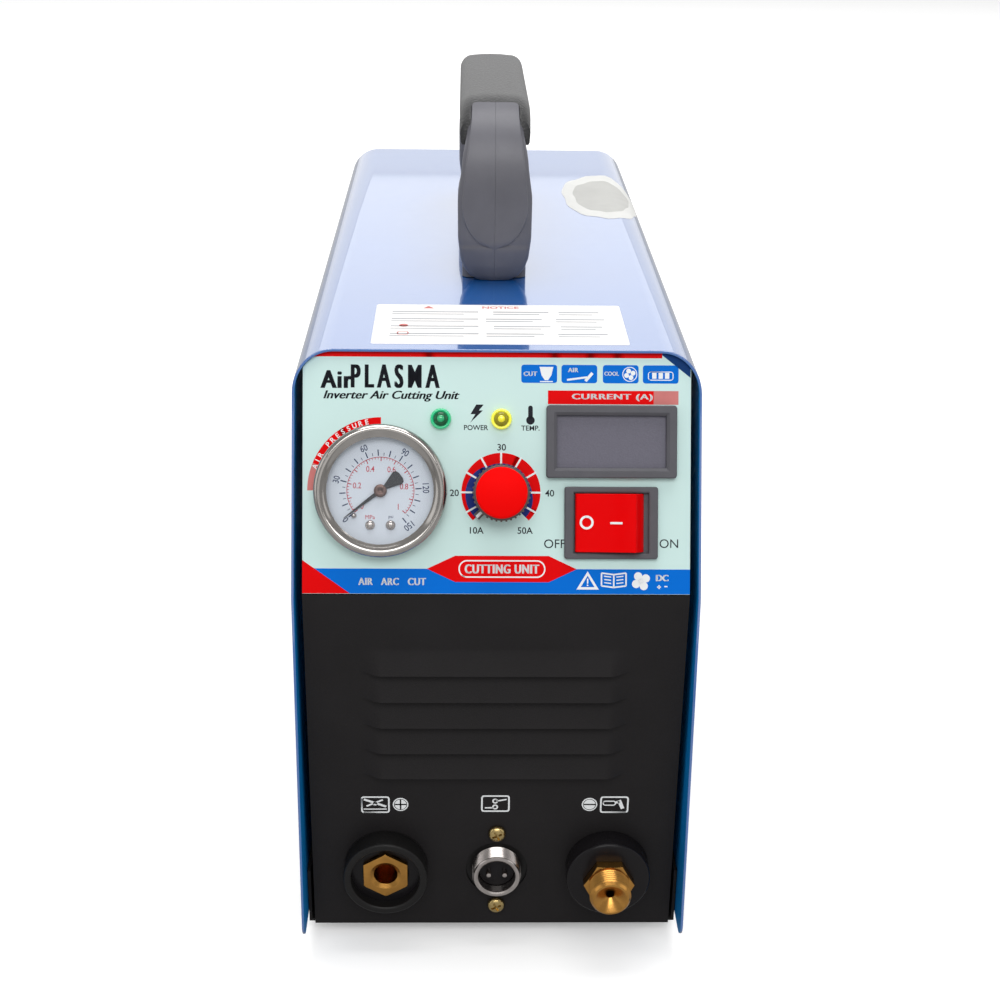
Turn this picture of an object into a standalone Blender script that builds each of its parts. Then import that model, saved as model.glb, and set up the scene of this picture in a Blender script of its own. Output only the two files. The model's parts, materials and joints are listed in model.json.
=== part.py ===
"""Portable inverter plasma cutter: steel case, controls, sockets, handle, fan and inner parts.

Metres, +Z up. The front faces -Y, the unit stands on z = 0, and the origin is under the
middle of its bounding box. Case-frame y runs from the kink of the cover's front edge (0)
to its rear edge (CASE_LENGTH); the empty "case_frame" shifts that to the part's frame.
"""

import math

import bmesh
import bpy
from mathutils import Matrix, Vector

# ---------------------------------------------------------------- case
CASE_WIDTH = 0.153
CASE_LENGTH = 0.390
LOWER_HEIGHT = 0.151  # chassis bottom to the kink of the cover's front edge
SLOPE_LENGTH = 0.0936  # cover's front edge, from the kink to the top
SLOPE_LEAN = math.radians(23.3)
TIP_REACH = 0.0132  # how far the cover's bottom front tips stand forward of the kink
COVER_LIFT = 0.0033  # cover's bottom edge above the chassis bottom
COVER_SHEET = 0.001
CORNER_RADIUS = 0.015
TIP_RADIUS = 0.007
PANEL_SHEET = 0.0012
SIDE_GAP = 0.0028  # cover's inner face to the edge of the front and rear panels
LOWER_RECESS = 0.0031  # lower front panel behind the kink
UPPER_RECESS = 0.0025  # control panel behind the cover's sloped edge
REAR_RECESS = 0.008
FACE_SHIFT = 0.0015  # controls and sockets to the right of the case's middle
FLANGE = 0.012
TRAY_FLANGE = 0.025
FOOT_HEIGHT = 0.007
FOOT_RADIUS = 0.010
FOOT_INSET = 0.035
GAP = 0.0003  # between pieces that rest on each other
CLEAR = 0.0005  # round a piece that passes through a hole

# ---------------------------------------------------------------- front louvres
LOUVRE_COUNT = 5
LOUVRE_PITCH = 0.01155
LOUVRE_WIDTH = 0.1015
LOUVRE_HEIGHT = 0.0092
LOUVRE_DEPTH = 0.0048
LOUVRE_TOP = 0.129  # top of the first louvre above the chassis bottom
LOUVRE_END = 0.007  # length of a louvre's sloped end

# ---------------------------------------------------------------- control panel
OVERLAY_SHEET = 0.0006
GAUGE_EDGE = 0.0031  # gauge bezel to the panel's left edge
GAUGE_UP = 0.0389
GAUGE_RADIUS = 0.02475
GAUGE_PROUD = 0.0075
GAUGE_DEPTH = 0.026
GAUGE_WALL = 0.0012
POINTER_LENGTH = 0.0168
POINTER_REST = math.radians(217)
KNOB_UP = 0.0384
KNOB_RADIUS = 0.0108
KNOB_CAP_RADIUS = 0.0095
KNOB_HEIGHT = 0.0145
SHAFT_RADIUS = 0.003
LAMP_UP = 0.0658
LAMP_SPACING = 0.0226
LAMP_RADIUS = 0.0039
DISPLAY_EDGE = 0.0071  # display and switch column to the panel's right edge
DISPLAY_WIDTH = 0.0488
DISPLAY_HEIGHT = 0.0272
DISPLAY_UP = 0.0575
DISPLAY_RIM = 0.0031
DISPLAY_PROUD = 0.0028
SWITCH_WIDTH = 0.035
SWITCH_HEIGHT = 0.027
SWITCH_UP = 0.0272
ROCKER_WIDTH = 0.0272
ROCKER_HEIGHT = 0.0218
ROCKER_TILT = math.radians(12)
ROCKER_PIVOT = 0.006  # rocker's axis below the foil's face
ROCKER_TOP = 0.0112  # top of the rocker's wings above its axis, with both wings level
ROCKER_DIP = 0.0009

# ---------------------------------------------------------------- sockets
SOCKET_SPACING = 0.0892
SOCKET_UP = 0.029
INSULATOR_RADIUS = 0.0168
INSULATOR_PROUD = 0.010
NECK_RADIUS = 0.0125
NECK_DEPTH = 0.022
HEX_ACROSS = 0.0176
STUB_RADIUS = 0.0082
STUB_LENGTH = 0.0127
GROUND_BORE = 0.0047
SIGNAL_UP = 0.0272
SIGNAL_RADIUS = 0.0098
SIGNAL_HOLE = 0.0124
SIGNAL_PROUD = 0.006
SIGNAL_SCREW_SPACING = 0.035
PIN_SPACING = 0.0064
PIN_RADIUS = 0.0011

# ---------------------------------------------------------------- handle
HANDLE_FRONT = 0.120  # case-frame y of the front pillar's face
HANDLE_LENGTH = 0.170
HANDLE_HEIGHT = 0.0735
HANDLE_WIDTH = 0.031
HANDLE_THICK = 0.023
HANDLE_BEND = 0.022
HANDLE_FOOT = 0.040
HANDLE_FOOT_WIDTH = 0.027
GRIP_CAP = 0.011  # thickness of the leather-grained cap on the grip
GRIP_INSET = 0.014  # cap's ends in from the handle's front and rear faces
FOOT_BLOCK = 0.014  # height of the solid block inside each handle foot
BOLT_RADIUS = 0.0025
BOLT_HEAD = 0.0045
BOLT_REACH = 0.010  # how far a handle bolt stands in its foot

# ---------------------------------------------------------------- rear
FAN_SIZE = 0.119
FAN_DEPTH = 0.025
FAN_UP = 0.140
FAN_BORE = 0.0565
GUARD_RADIUS = 0.0585
GUARD_PROUD = 0.003
GUARD_RING = 0.0024
GUARD_SPOKE = 0.0022
GUARD_MIDDLE = 0.014
GUARD_RINGS = 4
HUB_RADIUS = 0.018
SPOKE_WIDTH = 0.004
BLADE_COUNT = 7
BLADE_CHORD = 0.024
BLADE_SHEET = 0.0012
BLADE_TIP_GAP = 0.0022
GLAND_SIDE = 0.042
GLAND_UP = 0.036
GLAND_RADIUS = 0.011
GLAND_BORE = 0.0055
GLAND_PROUD = 0.024
INLET_SIDE = 0.044
INLET_UP = 0.038
INLET_THREAD = 0.0062
GLAND_THREAD = 0.010
GLAND_NECK = 0.0085

# ---------------------------------------------------------------- inside
BOARD_SHEET = 0.0016
BOARD_STUD = 0.010
BOARD_WIDTH = 0.126
BOARD_START = 0.062
BOARD_END = 0.075  # main board's rear edge to the rear panel
CONTROL_BOARD_Y = 0.075
CONTROL_BOARD_WIDTH = 0.110
SINK_LENGTH = 0.114
SINK_HEIGHT = 0.078
SINK_SPINE = 0.020  # sink's spine from the centre plane
SINK_WALL = 0.005
FIN_COUNT = 8
FIN_PITCH = 0.0098
FIN_SHEET = 0.0018
CORE_WIDTH, CORE_LENGTH, CORE_HEIGHT = 0.050, 0.042, 0.050
CORE_PLACE = 0.075  # transformer's middle from the board's front edge
CHOKE_X, CHOKE_PLACE = -0.032, 0.024
CHOKE_RADIUS, CHOKE_HOLE, CHOKE_HEIGHT = 0.021, 0.009, 0.016
CAN_X, CAN_RADIUS, CAN_HEIGHT = -0.045, 0.014, 0.045
STARTER_X, STARTER_WIDTH, STARTER_LENGTH, STARTER_HEIGHT = 0.026, 0.036, 0.034, 0.030
VALVE_WIDTH, VALVE_HEIGHT = 0.028, 0.024
VALVE_BACK = 0.047  # valve's middle to the rear panel
COIL_RADIUS, COIL_LOW, COIL_TOP = 0.013, 0.010, 0.046
PLUNGER_RADIUS, PLUNGER_LENGTH, PLUNGER_BORE = 0.0041, 0.028, 0.0045
HOSE_RADIUS, BRANCH_RADIUS = 0.004, 0.0025
SCREW_RADIUS, SCREW_HEAD, SCREW_LENGTH = 0.0017, 0.0038, 0.008
SCREW_HOLE = 0.0023  # half the square hole in the cover
SCREW_INSET = 0.045  # cover screws in from the case's ends
SCREW_UP = 0.009  # cover screws above the cover's bottom edge
STUD_RADIUS = 0.0035

# ---------------------------------------------------------------- places that follow
BASE_Z = FOOT_HEIGHT
KINK_Z = BASE_Z + LOWER_HEIGHT
TOP_Z = KINK_Z + SLOPE_LENGTH * math.cos(SLOPE_LEAN)
TOP_Y = SLOPE_LENGTH * math.sin(SLOPE_LEAN)
HALF = CASE_WIDTH / 2
INNER_HALF = HALF - COVER_SHEET
PANEL_HALF = INNER_HALF - SIDE_GAP
BEND_Y = LOWER_RECESS
BEND_Z = KINK_Z + (BEND_Y * math.cos(SLOPE_LEAN) - UPPER_RECESS) / math.sin(SLOPE_LEAN)
PANEL_TOP_Z = TOP_Z - COVER_SHEET - GAP
PANEL_SLOPE = (PANEL_TOP_Z - BEND_Z) / math.cos(SLOPE_LEAN)
REAR_Y = CASE_LENGTH - REAR_RECESS
FACE = GAP + OVERLAY_SHEET  # overlay's outer face above the control panel
NOSE_Y = LOWER_RECESS - INSULATOR_PROUD - STUB_LENGTH
CENTRE_Y = (NOSE_Y + REAR_Y + GLAND_PROUD) / 2

GAUGE_X = -PANEL_HALF + GAUGE_EDGE + GAUGE_RADIUS
DISPLAY_X = PANEL_HALF - DISPLAY_EDGE - DISPLAY_WIDTH / 2
SEGMENTS = 24


# ---------------------------------------------------------------- helpers
def material(name, colour, roughness, metallic=0.0, alpha=1.0):
    """A Principled BSDF material."""
    mat = bpy.data.materials.new(name)
    mat.use_nodes = True
    shader = mat.node_tree.nodes["Principled BSDF"]
    shader.inputs["Base Color"].default_value = (*colour, 1.0)
    shader.inputs["Roughness"].default_value = roughness
    shader.inputs["Metallic"].default_value = metallic
    shader.inputs["Alpha"].default_value = alpha
    return mat


def empty(name, location, rotation=(0, 0, 0), parent=None):
    """A frame that other pieces hang on."""
    frame = bpy.data.objects.new(name, None)
    bpy.context.scene.collection.objects.link(frame)
    frame.location = location
    frame.rotation_euler = rotation
    frame.parent = parent
    return frame


def piece(name, mesh, mat, parent, location=(0, 0, 0), rotation=(0, 0, 0)):
    """Link a bmesh as one named object; round faces are shaded smooth."""
    data = bpy.data.meshes.new(name)
    bmesh.ops.recalc_face_normals(mesh, faces=mesh.faces)
    mesh.to_mesh(data)
    mesh.free()
    data.shade_smooth()
    data.set_sharp_from_angle(angle=math.radians(35))
    obj = bpy.data.objects.new(name, data)
    bpy.context.scene.collection.objects.link(obj)
    if mat:
        data.materials.append(mat)
    obj.parent = parent
    obj.location = location
    obj.rotation_euler = rotation
    return obj


def helper(name, mesh, parent, location=(0, 0, 0), rotation=(0, 0, 0)):
    """A cutter or a joining shape, which isn't a piece of its own."""
    obj = piece(name, mesh, None, parent, location, rotation)
    obj.hide_render = True
    obj.display_type = "WIRE"
    return obj


def boolean(obj, other, operation="DIFFERENCE"):
    mod = obj.modifiers.new(operation.lower() + "_" + other.name, "BOOLEAN")
    mod.operation = operation
    mod.object = other
    mod.solver = "EXACT"


def add_box(mesh, low, high):
    """Add a closed box between two corners."""
    made = bmesh.ops.create_cube(mesh, size=1.0)["verts"]
    size = Vector(high) - Vector(low)
    middle = (Vector(high) + Vector(low)) / 2
    for vert in made:
        vert.co = Vector(c * s for c, s in zip(vert.co, size)) + middle


def around(middle, reach):
    """Lowest and highest corner of a box with this middle, reaching this far each way."""
    low = tuple(m - r for m, r in zip(middle, reach))
    return low, tuple(m + r for m, r in zip(middle, reach))


def box(low, high):
    mesh = bmesh.new()
    add_box(mesh, low, high)
    return mesh


def add_turned(mesh, profile, segments=SEGMENTS, move=(0, 0, 0)):
    """Spin (radius, height) points round local Z. A closed ring has no point on the axis."""
    rings = []
    for radius, height in profile:
        if radius == 0:
            rings.append([mesh.verts.new((0, 0, height))])
            continue
        turns = (2 * math.pi * i / segments for i in range(segments))
        rings.append([mesh.verts.new((radius * math.cos(t), radius * math.sin(t), height)) for t in turns])
    pairs = list(zip(rings, rings[1:]))
    if len(rings[0]) > 1 and len(rings[-1]) > 1:
        pairs.append((rings[-1], rings[0]))
    for below, above in pairs:
        for i in range(segments):
            corners = [below[i % len(below)], below[(i + 1) % len(below)]]
            corners += [above[(i + 1) % len(above)], above[i % len(above)]]
            mesh.faces.new(list(dict.fromkeys(corners)))
    for vert in {v for ring in rings for v in ring}:
        vert.co += Vector(move)


def turned(profile, segments=SEGMENTS):
    mesh = bmesh.new()
    add_turned(mesh, profile, segments)
    return mesh


def add_prism(mesh, outline, low, high, matrix=None):
    """Extrude an outline of (x, y) points from local z = low to high."""
    sides = [[mesh.verts.new((x, y, z)) for x, y in outline] for z in (low, high)]
    mesh.faces.new(sides[0][::-1])
    mesh.faces.new(sides[1])
    count = len(outline)
    for i in range(count):
        j = (i + 1) % count
        mesh.faces.new([sides[0][i], sides[0][j], sides[1][j], sides[1][i]])
    if matrix:
        for vert in sides[0] + sides[1]:
            vert.co = matrix @ vert.co


def prism(outline, low, high, matrix=None):
    mesh = bmesh.new()
    add_prism(mesh, outline, low, high, matrix)
    return mesh


# Outline (y, z) extruded along x, and outline (x, z) extruded along y.
ALONG_X = Matrix(((0, 0, 1, 0), (1, 0, 0, 0), (0, 1, 0, 0), (0, 0, 0, 1)))
ALONG_Y = Matrix(((1, 0, 0, 0), (0, 0, 1, 0), (0, 1, 0, 0), (0, 0, 0, 1)))


def arc(centre, radius, start, end, steps):
    """Points on an arc, degrees from start to end."""
    turns = (math.radians(start + (end - start) * i / steps) for i in range(steps + 1))
    return [(centre[0] + radius * math.cos(t), centre[1] + radius * math.sin(t)) for t in turns]


def rounded(width, height, radius, centre=(0, 0), steps=3):
    """Outline of a rectangle with round corners."""
    points = []
    for sx, sy, start in ((1, 1, 0), (-1, 1, 90), (-1, -1, 180), (1, -1, 270)):
        middle = (centre[0] + sx * (width / 2 - radius), centre[1] + sy * (height / 2 - radius))
        points += arc(middle, radius, start, start + 90, steps)
    return points


def hexagon(across, start=0):
    """Outline of a hexagon with this size across its flats."""
    corner = across / math.sqrt(3)
    return arc((0, 0), corner, start, start + 300, 5)


def tube(name, points, radius, mat, parent):
    """A round hose along a smooth route, with closed ends."""
    curve = bpy.data.curves.new(name, "CURVE")
    curve.dimensions = "3D"
    curve.bevel_depth = radius
    curve.bevel_resolution = 1
    curve.use_fill_caps = True
    spline = curve.splines.new("POLY")
    spline.points.add(len(points) - 1)
    for slot, place in zip(spline.points, points):
        slot.co = (*place, 1.0)
    obj = bpy.data.objects.new(name, curve)
    bpy.context.scene.collection.objects.link(obj)
    curve.materials.append(mat)
    obj.parent = parent
    return obj


def smooth_route(knots, step=0.016):
    """Catmull-Rom points through the knots, one every step or so."""
    padded = [knots[0], *knots, knots[-1]]
    route = []
    for before, start, end, after in zip(padded, padded[1:], padded[2:], padded[3:]):
        b, s, e, a = (Vector(p) for p in (before, start, end, after))
        count = max(1, round((e - s).length / step))
        for i in range(count):
            t = i / count
            bend = (e - b) * t + (2 * b - 5 * s + 4 * e - a) * t * t + (3 * s - b - 3 * e + a) * t**3
            route.append(s + bend / 2)
    return [tuple(p) for p in route] + [tuple(knots[-1])]


# ---------------------------------------------------------------- shared outlines
def cover_section(shrink, bottom):
    """Cross-section (x, z) of the cover's outside, drawn in by shrink on the sides and top."""
    half, top, radius = HALF - shrink, TOP_Z - shrink, CORNER_RADIUS - shrink
    right = arc((half - radius, top - radius), radius, 0, 90, 6)
    left = arc((-half + radius, top - radius), radius, 90, 180, 6)
    return [(half, bottom), *right, *left, (-half, bottom)]


def front_outline(back):
    """Side view (y, z) of the front panel's outer face, closed off `back` behind it."""
    slope = SLOPE_LEAN
    top = (BEND_Y + PANEL_SLOPE * math.sin(slope), PANEL_TOP_Z)
    face = [(BEND_Y, BASE_Z), (BEND_Y, BEND_Z), top]
    return face + [(y + back, z) for y, z in reversed(face)]


# ---------------------------------------------------------------- case
def make_cover(frame, mats):
    """One folded sheet: the top and both sides, with round front tips."""
    bottom = BASE_Z + COVER_LIFT
    outer = cover_section(0, bottom)
    inner = cover_section(COVER_SHEET, bottom)
    past = 0.02
    cover = piece(
        "outer_cover",
        prism(outer + inner[::-1], -past, CASE_LENGTH + past, ALONG_Y),
        mats["blue_paint"],
        frame,
    )
    lean = math.atan2(TIP_REACH, KINK_Z - bottom)
    turn = math.degrees(lean)
    run = TIP_RADIUS * math.tan(math.pi / 4 + lean / 2)
    middle = (-TIP_REACH + run, bottom + TIP_RADIUS)
    tip = arc(middle, TIP_RADIUS, 180 + turn, 270, 5)
    side = [*tip, (CASE_LENGTH, bottom), (CASE_LENGTH, TOP_Z + past)]
    side += [(TOP_Y + past * math.tan(SLOPE_LEAN), TOP_Z + past), (0, KINK_Z)]
    trim = helper("cover_trim", prism(side, -HALF - past, HALF + past, ALONG_X), frame)
    boolean(cover, trim, "INTERSECT")
    holes = bmesh.new()
    for x, y in handle_bolt_places():
        bore = BOLT_RADIUS + CLEAR
        add_turned(holes, [(0, -past), (bore, -past), (bore, past), (0, past)], 16, (x, y, TOP_Z))
    for side_sign, y in cover_screw_places():
        add_box(holes, *around((side_sign * HALF, y, cover_screw_z()), (past / 2, SCREW_HOLE, SCREW_HOLE)))
    boolean(cover, helper("cover_holes", holes, frame))


def cover_screw_places():
    return [(side, y) for side in (-1, 1) for y in (SCREW_INSET, CASE_LENGTH - SCREW_INSET)]


def cover_screw_z():
    return BASE_Z + COVER_LIFT + SCREW_UP


def handle_bolt_places():
    middle = HANDLE_FOOT * 0.6
    return [(0, HANDLE_FRONT + middle), (0, HANDLE_FRONT + HANDLE_LENGTH - middle)]


def make_tray(frame, mats):
    """The floor of the chassis: a folded channel with four studs for the main board."""
    half = INNER_HALF - GAP
    front = LOWER_RECESS + PANEL_SHEET + GAP
    rear = REAR_Y - PANEL_SHEET - GAP
    outline = [(half, BASE_Z), (half, BASE_Z + TRAY_FLANGE), (half - PANEL_SHEET, BASE_Z + TRAY_FLANGE)]
    outline += [(half - PANEL_SHEET, BASE_Z + PANEL_SHEET)]
    outline += [(-x, z) for x, z in reversed(outline)]
    tray = piece("base_tray", prism(outline, front, rear, ALONG_Y), mats["black_paint"], frame)
    studs = bmesh.new()
    for x in (-BOARD_WIDTH / 2 + 0.008, BOARD_WIDTH / 2 - 0.008):
        for y in (BOARD_START + 0.01, REAR_Y - BOARD_END - 0.01):
            top = PANEL_SHEET + BOARD_STUD
            stud = [(0, GAP), (STUD_RADIUS, GAP), (STUD_RADIUS, top), (0, top)]
            add_turned(studs, stud, 8, (x, y, BASE_Z))
    boolean(tray, helper("tray_studs", studs, frame), "UNION")
    holes = bmesh.new()
    for side, y in cover_screw_places():
        hole = SCREW_RADIUS + CLEAR
        add_box(holes, *around((side * half, y, cover_screw_z()), (0.01, hole, hole)))
    for x, y in foot_places():
        add_turned(holes, [(0, -0.01), (0.002, -0.01), (0.002, 0.01), (0, 0.01)], 8, (x, y, BASE_Z))
    boolean(tray, helper("tray_holes", holes, frame))


def foot_places():
    x = INNER_HALF - 0.018
    return [(sx * x, y) for sx in (-1, 1) for y in (FOOT_INSET, CASE_LENGTH - FOOT_INSET)]


def make_feet(frame, mats):
    """Four rubber feet, each with a hollow for its screw and a plug that passes the tray."""
    names = ("foot_front_left", "foot_rear_left", "foot_front_right", "foot_rear_right")
    top = FOOT_HEIGHT - GAP
    profile = [(0, FOOT_HEIGHT + PANEL_SHEET), (0.0016, FOOT_HEIGHT + PANEL_SHEET), (0.0016, top)]
    profile += [(FOOT_RADIUS, top), (FOOT_RADIUS * 0.86, 0), (0.0035, 0), (0.0035, 0.003), (0, 0.003)]
    for name, (x, y) in zip(names, foot_places()):
        piece(name, turned(profile, 18), mats["rubber"], frame, (x, y, 0))


def add_louvre(mesh, top, depth, height, width, back):
    """One pressed hood: flush at its top, proud at its lower lip, with sloped ends."""
    stations = []
    for x, share in ((-1, 0), (-1, 1), (1, 1), (1, 0)):
        reach = depth * share
        place = x * (width / 2 - (LOUVRE_END if share else 0))
        steps = (0, 0.33, 0.66, 1)
        curve = [(BEND_Y + GAP - (reach + GAP) * math.sin(math.pi / 2 * t), t) for t in steps]
        ring = [(place, y, top - height * (0.2 + 0.8 * t if not share else t)) for y, t in curve]
        ring += [(place, BEND_Y + back, ring[-1][2]), (place, BEND_Y + back, ring[0][2])]
        stations.append([mesh.verts.new(p) for p in ring])
    mesh.faces.new(stations[0])
    mesh.faces.new(stations[-1][::-1])
    count = len(stations[0])
    for near, far in zip(stations, stations[1:]):
        for i in range(count):
            j = (i + 1) % count
            mesh.faces.new([near[i], far[i], far[j], near[j]])


def make_front_panel(frame, mats):
    """Folded front: vertical lower face with louvres and sockets, sloped control face."""
    panel = piece(
        "front_panel",
        prism(front_outline(FLANGE), -PANEL_HALF, PANEL_HALF, ALONG_X),
        mats["black_paint"],
        frame,
    )
    inside = bmesh.new()
    sheet = PANEL_SHEET
    tan = math.tan(SLOPE_LEAN)
    rise = sheet * math.tan(SLOPE_LEAN / 2)
    top_z = PANEL_TOP_Z - sheet
    sloped_y = BEND_Y + sheet + (top_z - BEND_Z - rise) * tan
    hollow = [(BEND_Y + sheet, BASE_Z - 0.01), (BEND_Y + sheet, BEND_Z - rise), (sloped_y, top_z)]
    hollow += [(sloped_y + 0.05, top_z), (BEND_Y + 0.05, BEND_Z - rise), (BEND_Y + 0.05, BASE_Z - 0.01)]
    add_prism(inside, hollow, -PANEL_HALF + sheet, PANEL_HALF - sheet, ALONG_X)
    boolean(panel, helper("front_hollow", inside, frame))
    toe = (-PANEL_HALF - 0.01, BEND_Y + sheet + 0.0001, BASE_Z - 0.01)
    heel = (PANEL_HALF + 0.01, BEND_Y + 0.1, BASE_Z + sheet + 2 * GAP)
    boolean(panel, helper("front_toe", box(toe, heel), frame))
    boolean(panel, helper("front_corners", envelope(), frame), "INTERSECT")
    hoods = bmesh.new()
    vents = bmesh.new()
    for i in range(LOUVRE_COUNT):
        top = BASE_Z + LOUVRE_TOP - i * LOUVRE_PITCH
        add_louvre(hoods, top, LOUVRE_DEPTH, LOUVRE_HEIGHT, LOUVRE_WIDTH, sheet * 0.7)
        add_vent(vents, top)
    boolean(panel, helper("louvre_hoods", hoods, frame), "UNION")
    boolean(panel, helper("louvre_vents", vents, frame))
    return panel


def add_vent(mesh, top):
    """Hollow of one louvre, open through the panel and under the lip."""
    half = LOUVRE_WIDTH / 2 - LOUVRE_END
    y = BEND_Y
    reach = LOUVRE_DEPTH - 0.0012
    low = top - LOUVRE_HEIGHT
    outline = [(y + 0.004, top - 0.0035), (y - 0.0004, top - 0.0035), (y - reach, low + 0.0018)]
    outline += [(y - reach, low - 0.0012), (y - 0.0006, low - 0.0012), (y - 0.0006, low + 0.0012)]
    outline += [(y + 0.004, low + 0.0012)]
    add_prism(mesh, outline, -half, half, ALONG_X)


def envelope():
    """Space inside the cover, less a gap, that the panels' round top corners keep to."""
    return prism(cover_section(COVER_SHEET + GAP, BASE_Z - 0.02), -0.03, CASE_LENGTH + 0.03, ALONG_Y)


def make_rear_panel(frame, mats):
    """Rear sheet with side and top flanges turned forward."""
    low, high = REAR_Y - FLANGE, REAR_Y
    panel = piece(
        "rear_panel",
        box((-PANEL_HALF, low, BASE_Z), (PANEL_HALF, high, PANEL_TOP_Z)),
        mats["black_paint"],
        frame,
    )
    sheet = PANEL_SHEET
    side = PANEL_HALF - sheet
    hollow = box((-side, low - 0.01, BASE_Z - 0.01), (side, high - sheet, PANEL_TOP_Z - sheet))
    boolean(panel, helper("rear_hollow", hollow, frame))
    toe = box((-HALF, low - 0.01, BASE_Z - 0.01), (HALF, high - sheet - 0.0001, BASE_Z + sheet + 2 * GAP))
    boolean(panel, helper("rear_toe", toe, frame))
    boolean(panel, helper("rear_corners", envelope(), frame), "INTERSECT")
    return panel


def make_overlay(frame, control, mats):
    """The printed front foil on the control panel."""
    half, high = PANEL_HALF - 0.0002, PANEL_SLOPE + 0.01
    left, right = -half - FACE_SHIFT, half - FACE_SHIFT
    outline = [(left, 0.0004), (right, 0.0004), (right, high), (left, high)]
    overlay = piece("control_overlay", prism(outline, GAP, FACE), mats["overlay"], control)
    boolean(overlay, helper("overlay_corners", envelope(), frame), "INTERSECT")
    return overlay


# ---------------------------------------------------------------- control pieces
def cut_control_holes(panel, overlay, control):
    """Holes that the gauge, display, switch, lamps and potentiometer pass through."""
    holes = bmesh.new()
    deep, high = -0.03, 0.01

    def round_hole(x, up, radius):
        add_turned(holes, [(0, deep), (radius, deep), (radius, high), (0, high)], SEGMENTS, (x, up, 0))

    round_hole(GAUGE_X, GAUGE_UP, gauge_body_radius() + CLEAR)
    round_hole(0, KNOB_UP, 0.0035 + CLEAR)
    for x in (-LAMP_SPACING, 0):
        round_hole(x, LAMP_UP, LAMP_RADIUS - 0.0006 + GAP)
    for width, tall, up in (
        (DISPLAY_WIDTH, DISPLAY_HEIGHT, DISPLAY_UP),
        (SWITCH_WIDTH, SWITCH_HEIGHT, SWITCH_UP),
    ):
        x, y = width / 2 - 0.002, tall / 2 - 0.002
        add_box(holes, (DISPLAY_X - x, up - y, deep), (DISPLAY_X + x, up + y, high))
    cutter = helper("control_holes", holes, control)
    boolean(panel, cutter)
    boolean(overlay, cutter)


def gauge_body_radius():
    return GAUGE_RADIUS - 0.0022


def make_gauge(control, mats):
    """Pressure gauge: case with its rear stem, dial, pointer, glass and polished bezel."""
    frame = empty("gauge_frame", (GAUGE_X, GAUGE_UP, 0), parent=control)
    body, wall = gauge_body_radius(), GAUGE_WALL
    lip = FACE + 0.002  # dial plane's height
    case = [(0, -GAUGE_DEPTH - 0.014), (0.0045, -GAUGE_DEPTH - 0.014), (0.0045, -GAUGE_DEPTH - 0.004)]
    case += [(0.007, -GAUGE_DEPTH - 0.004), (0.007, -GAUGE_DEPTH), (body, -GAUGE_DEPTH)]
    case += [(body, lip - 0.0008), (body - wall, lip - 0.0008)]
    case += [(body - wall, -GAUGE_DEPTH + wall), (0, -GAUGE_DEPTH + wall)]
    piece("gauge_case", turned(case), mats["steel"], frame)
    edge, hole, face = body - 0.0004, 0.0012, lip + 0.0005
    dial = [(hole, lip - GAP), (edge, lip - GAP), (edge, face), (hole, face)]
    piece("gauge_dial", turned(dial, 32), mats["dial"], frame)
    top = FACE + GAUGE_PROUD
    rim = GAUGE_RADIUS - 0.0033
    glass = [(0, top - 0.0028), (rim, top - 0.0028), (rim, top - 0.0016), (0, top - 0.0016)]
    piece("gauge_lens", turned(glass), mats["glass"], frame)
    bezel = [(GAUGE_RADIUS, FACE + GAP), (GAUGE_RADIUS, top - 0.0016), (GAUGE_RADIUS - 0.0014, top)]
    bezel += [(GAUGE_RADIUS - 0.0034, top - 0.0004), (GAUGE_RADIUS - 0.0049, top - 0.0013)]
    bezel += [(GAUGE_RADIUS - 0.003, top - 0.0013), (GAUGE_RADIUS - 0.003, lip + 0.0008)]
    bezel += [(GAUGE_RADIUS - 0.0018, lip + 0.0008), (GAUGE_RADIUS - 0.0018, FACE + GAP)]
    piece("gauge_bezel", turned(bezel, 36), mats["chrome"], frame)
    make_pointer(frame, face, mats)


def make_pointer(frame, dial_top, mats):
    """Needle, hub and spindle, with the origin on the spindle's axis, resting at zero."""
    low, high = dial_top + 0.0004, dial_top + 0.0009
    # The outline points along +X; the object is turned to its rest, at the lower left of the dial.
    outline = [(POINTER_LENGTH, -0.00012), (POINTER_LENGTH, 0.00012), (0.0022, 0.0008), (-0.0022, 0.0009)]
    outline += [(-0.0075, 0.0028), (-0.0095, 0.0022), (-0.0095, -0.0022), (-0.0075, -0.0028)]
    outline += [(-0.0022, -0.0009), (0.0022, -0.0008)]
    rest = (0, 0, POINTER_REST)
    needle = piece("gauge_pointer", prism(outline, low, high), mats["black_metal"], frame, rotation=rest)
    hub = [(0, low - 0.0035), (0.0007, low - 0.0035), (0.0007, low - 0.0001), (0.0022, low - 0.0001)]
    hub += [(0.0022, high + 0.0004), (0.0014, high + 0.0008), (0, high + 0.0008)]
    boolean(needle, helper("pointer_hub", turned(hub, 20), needle), "UNION")


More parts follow.
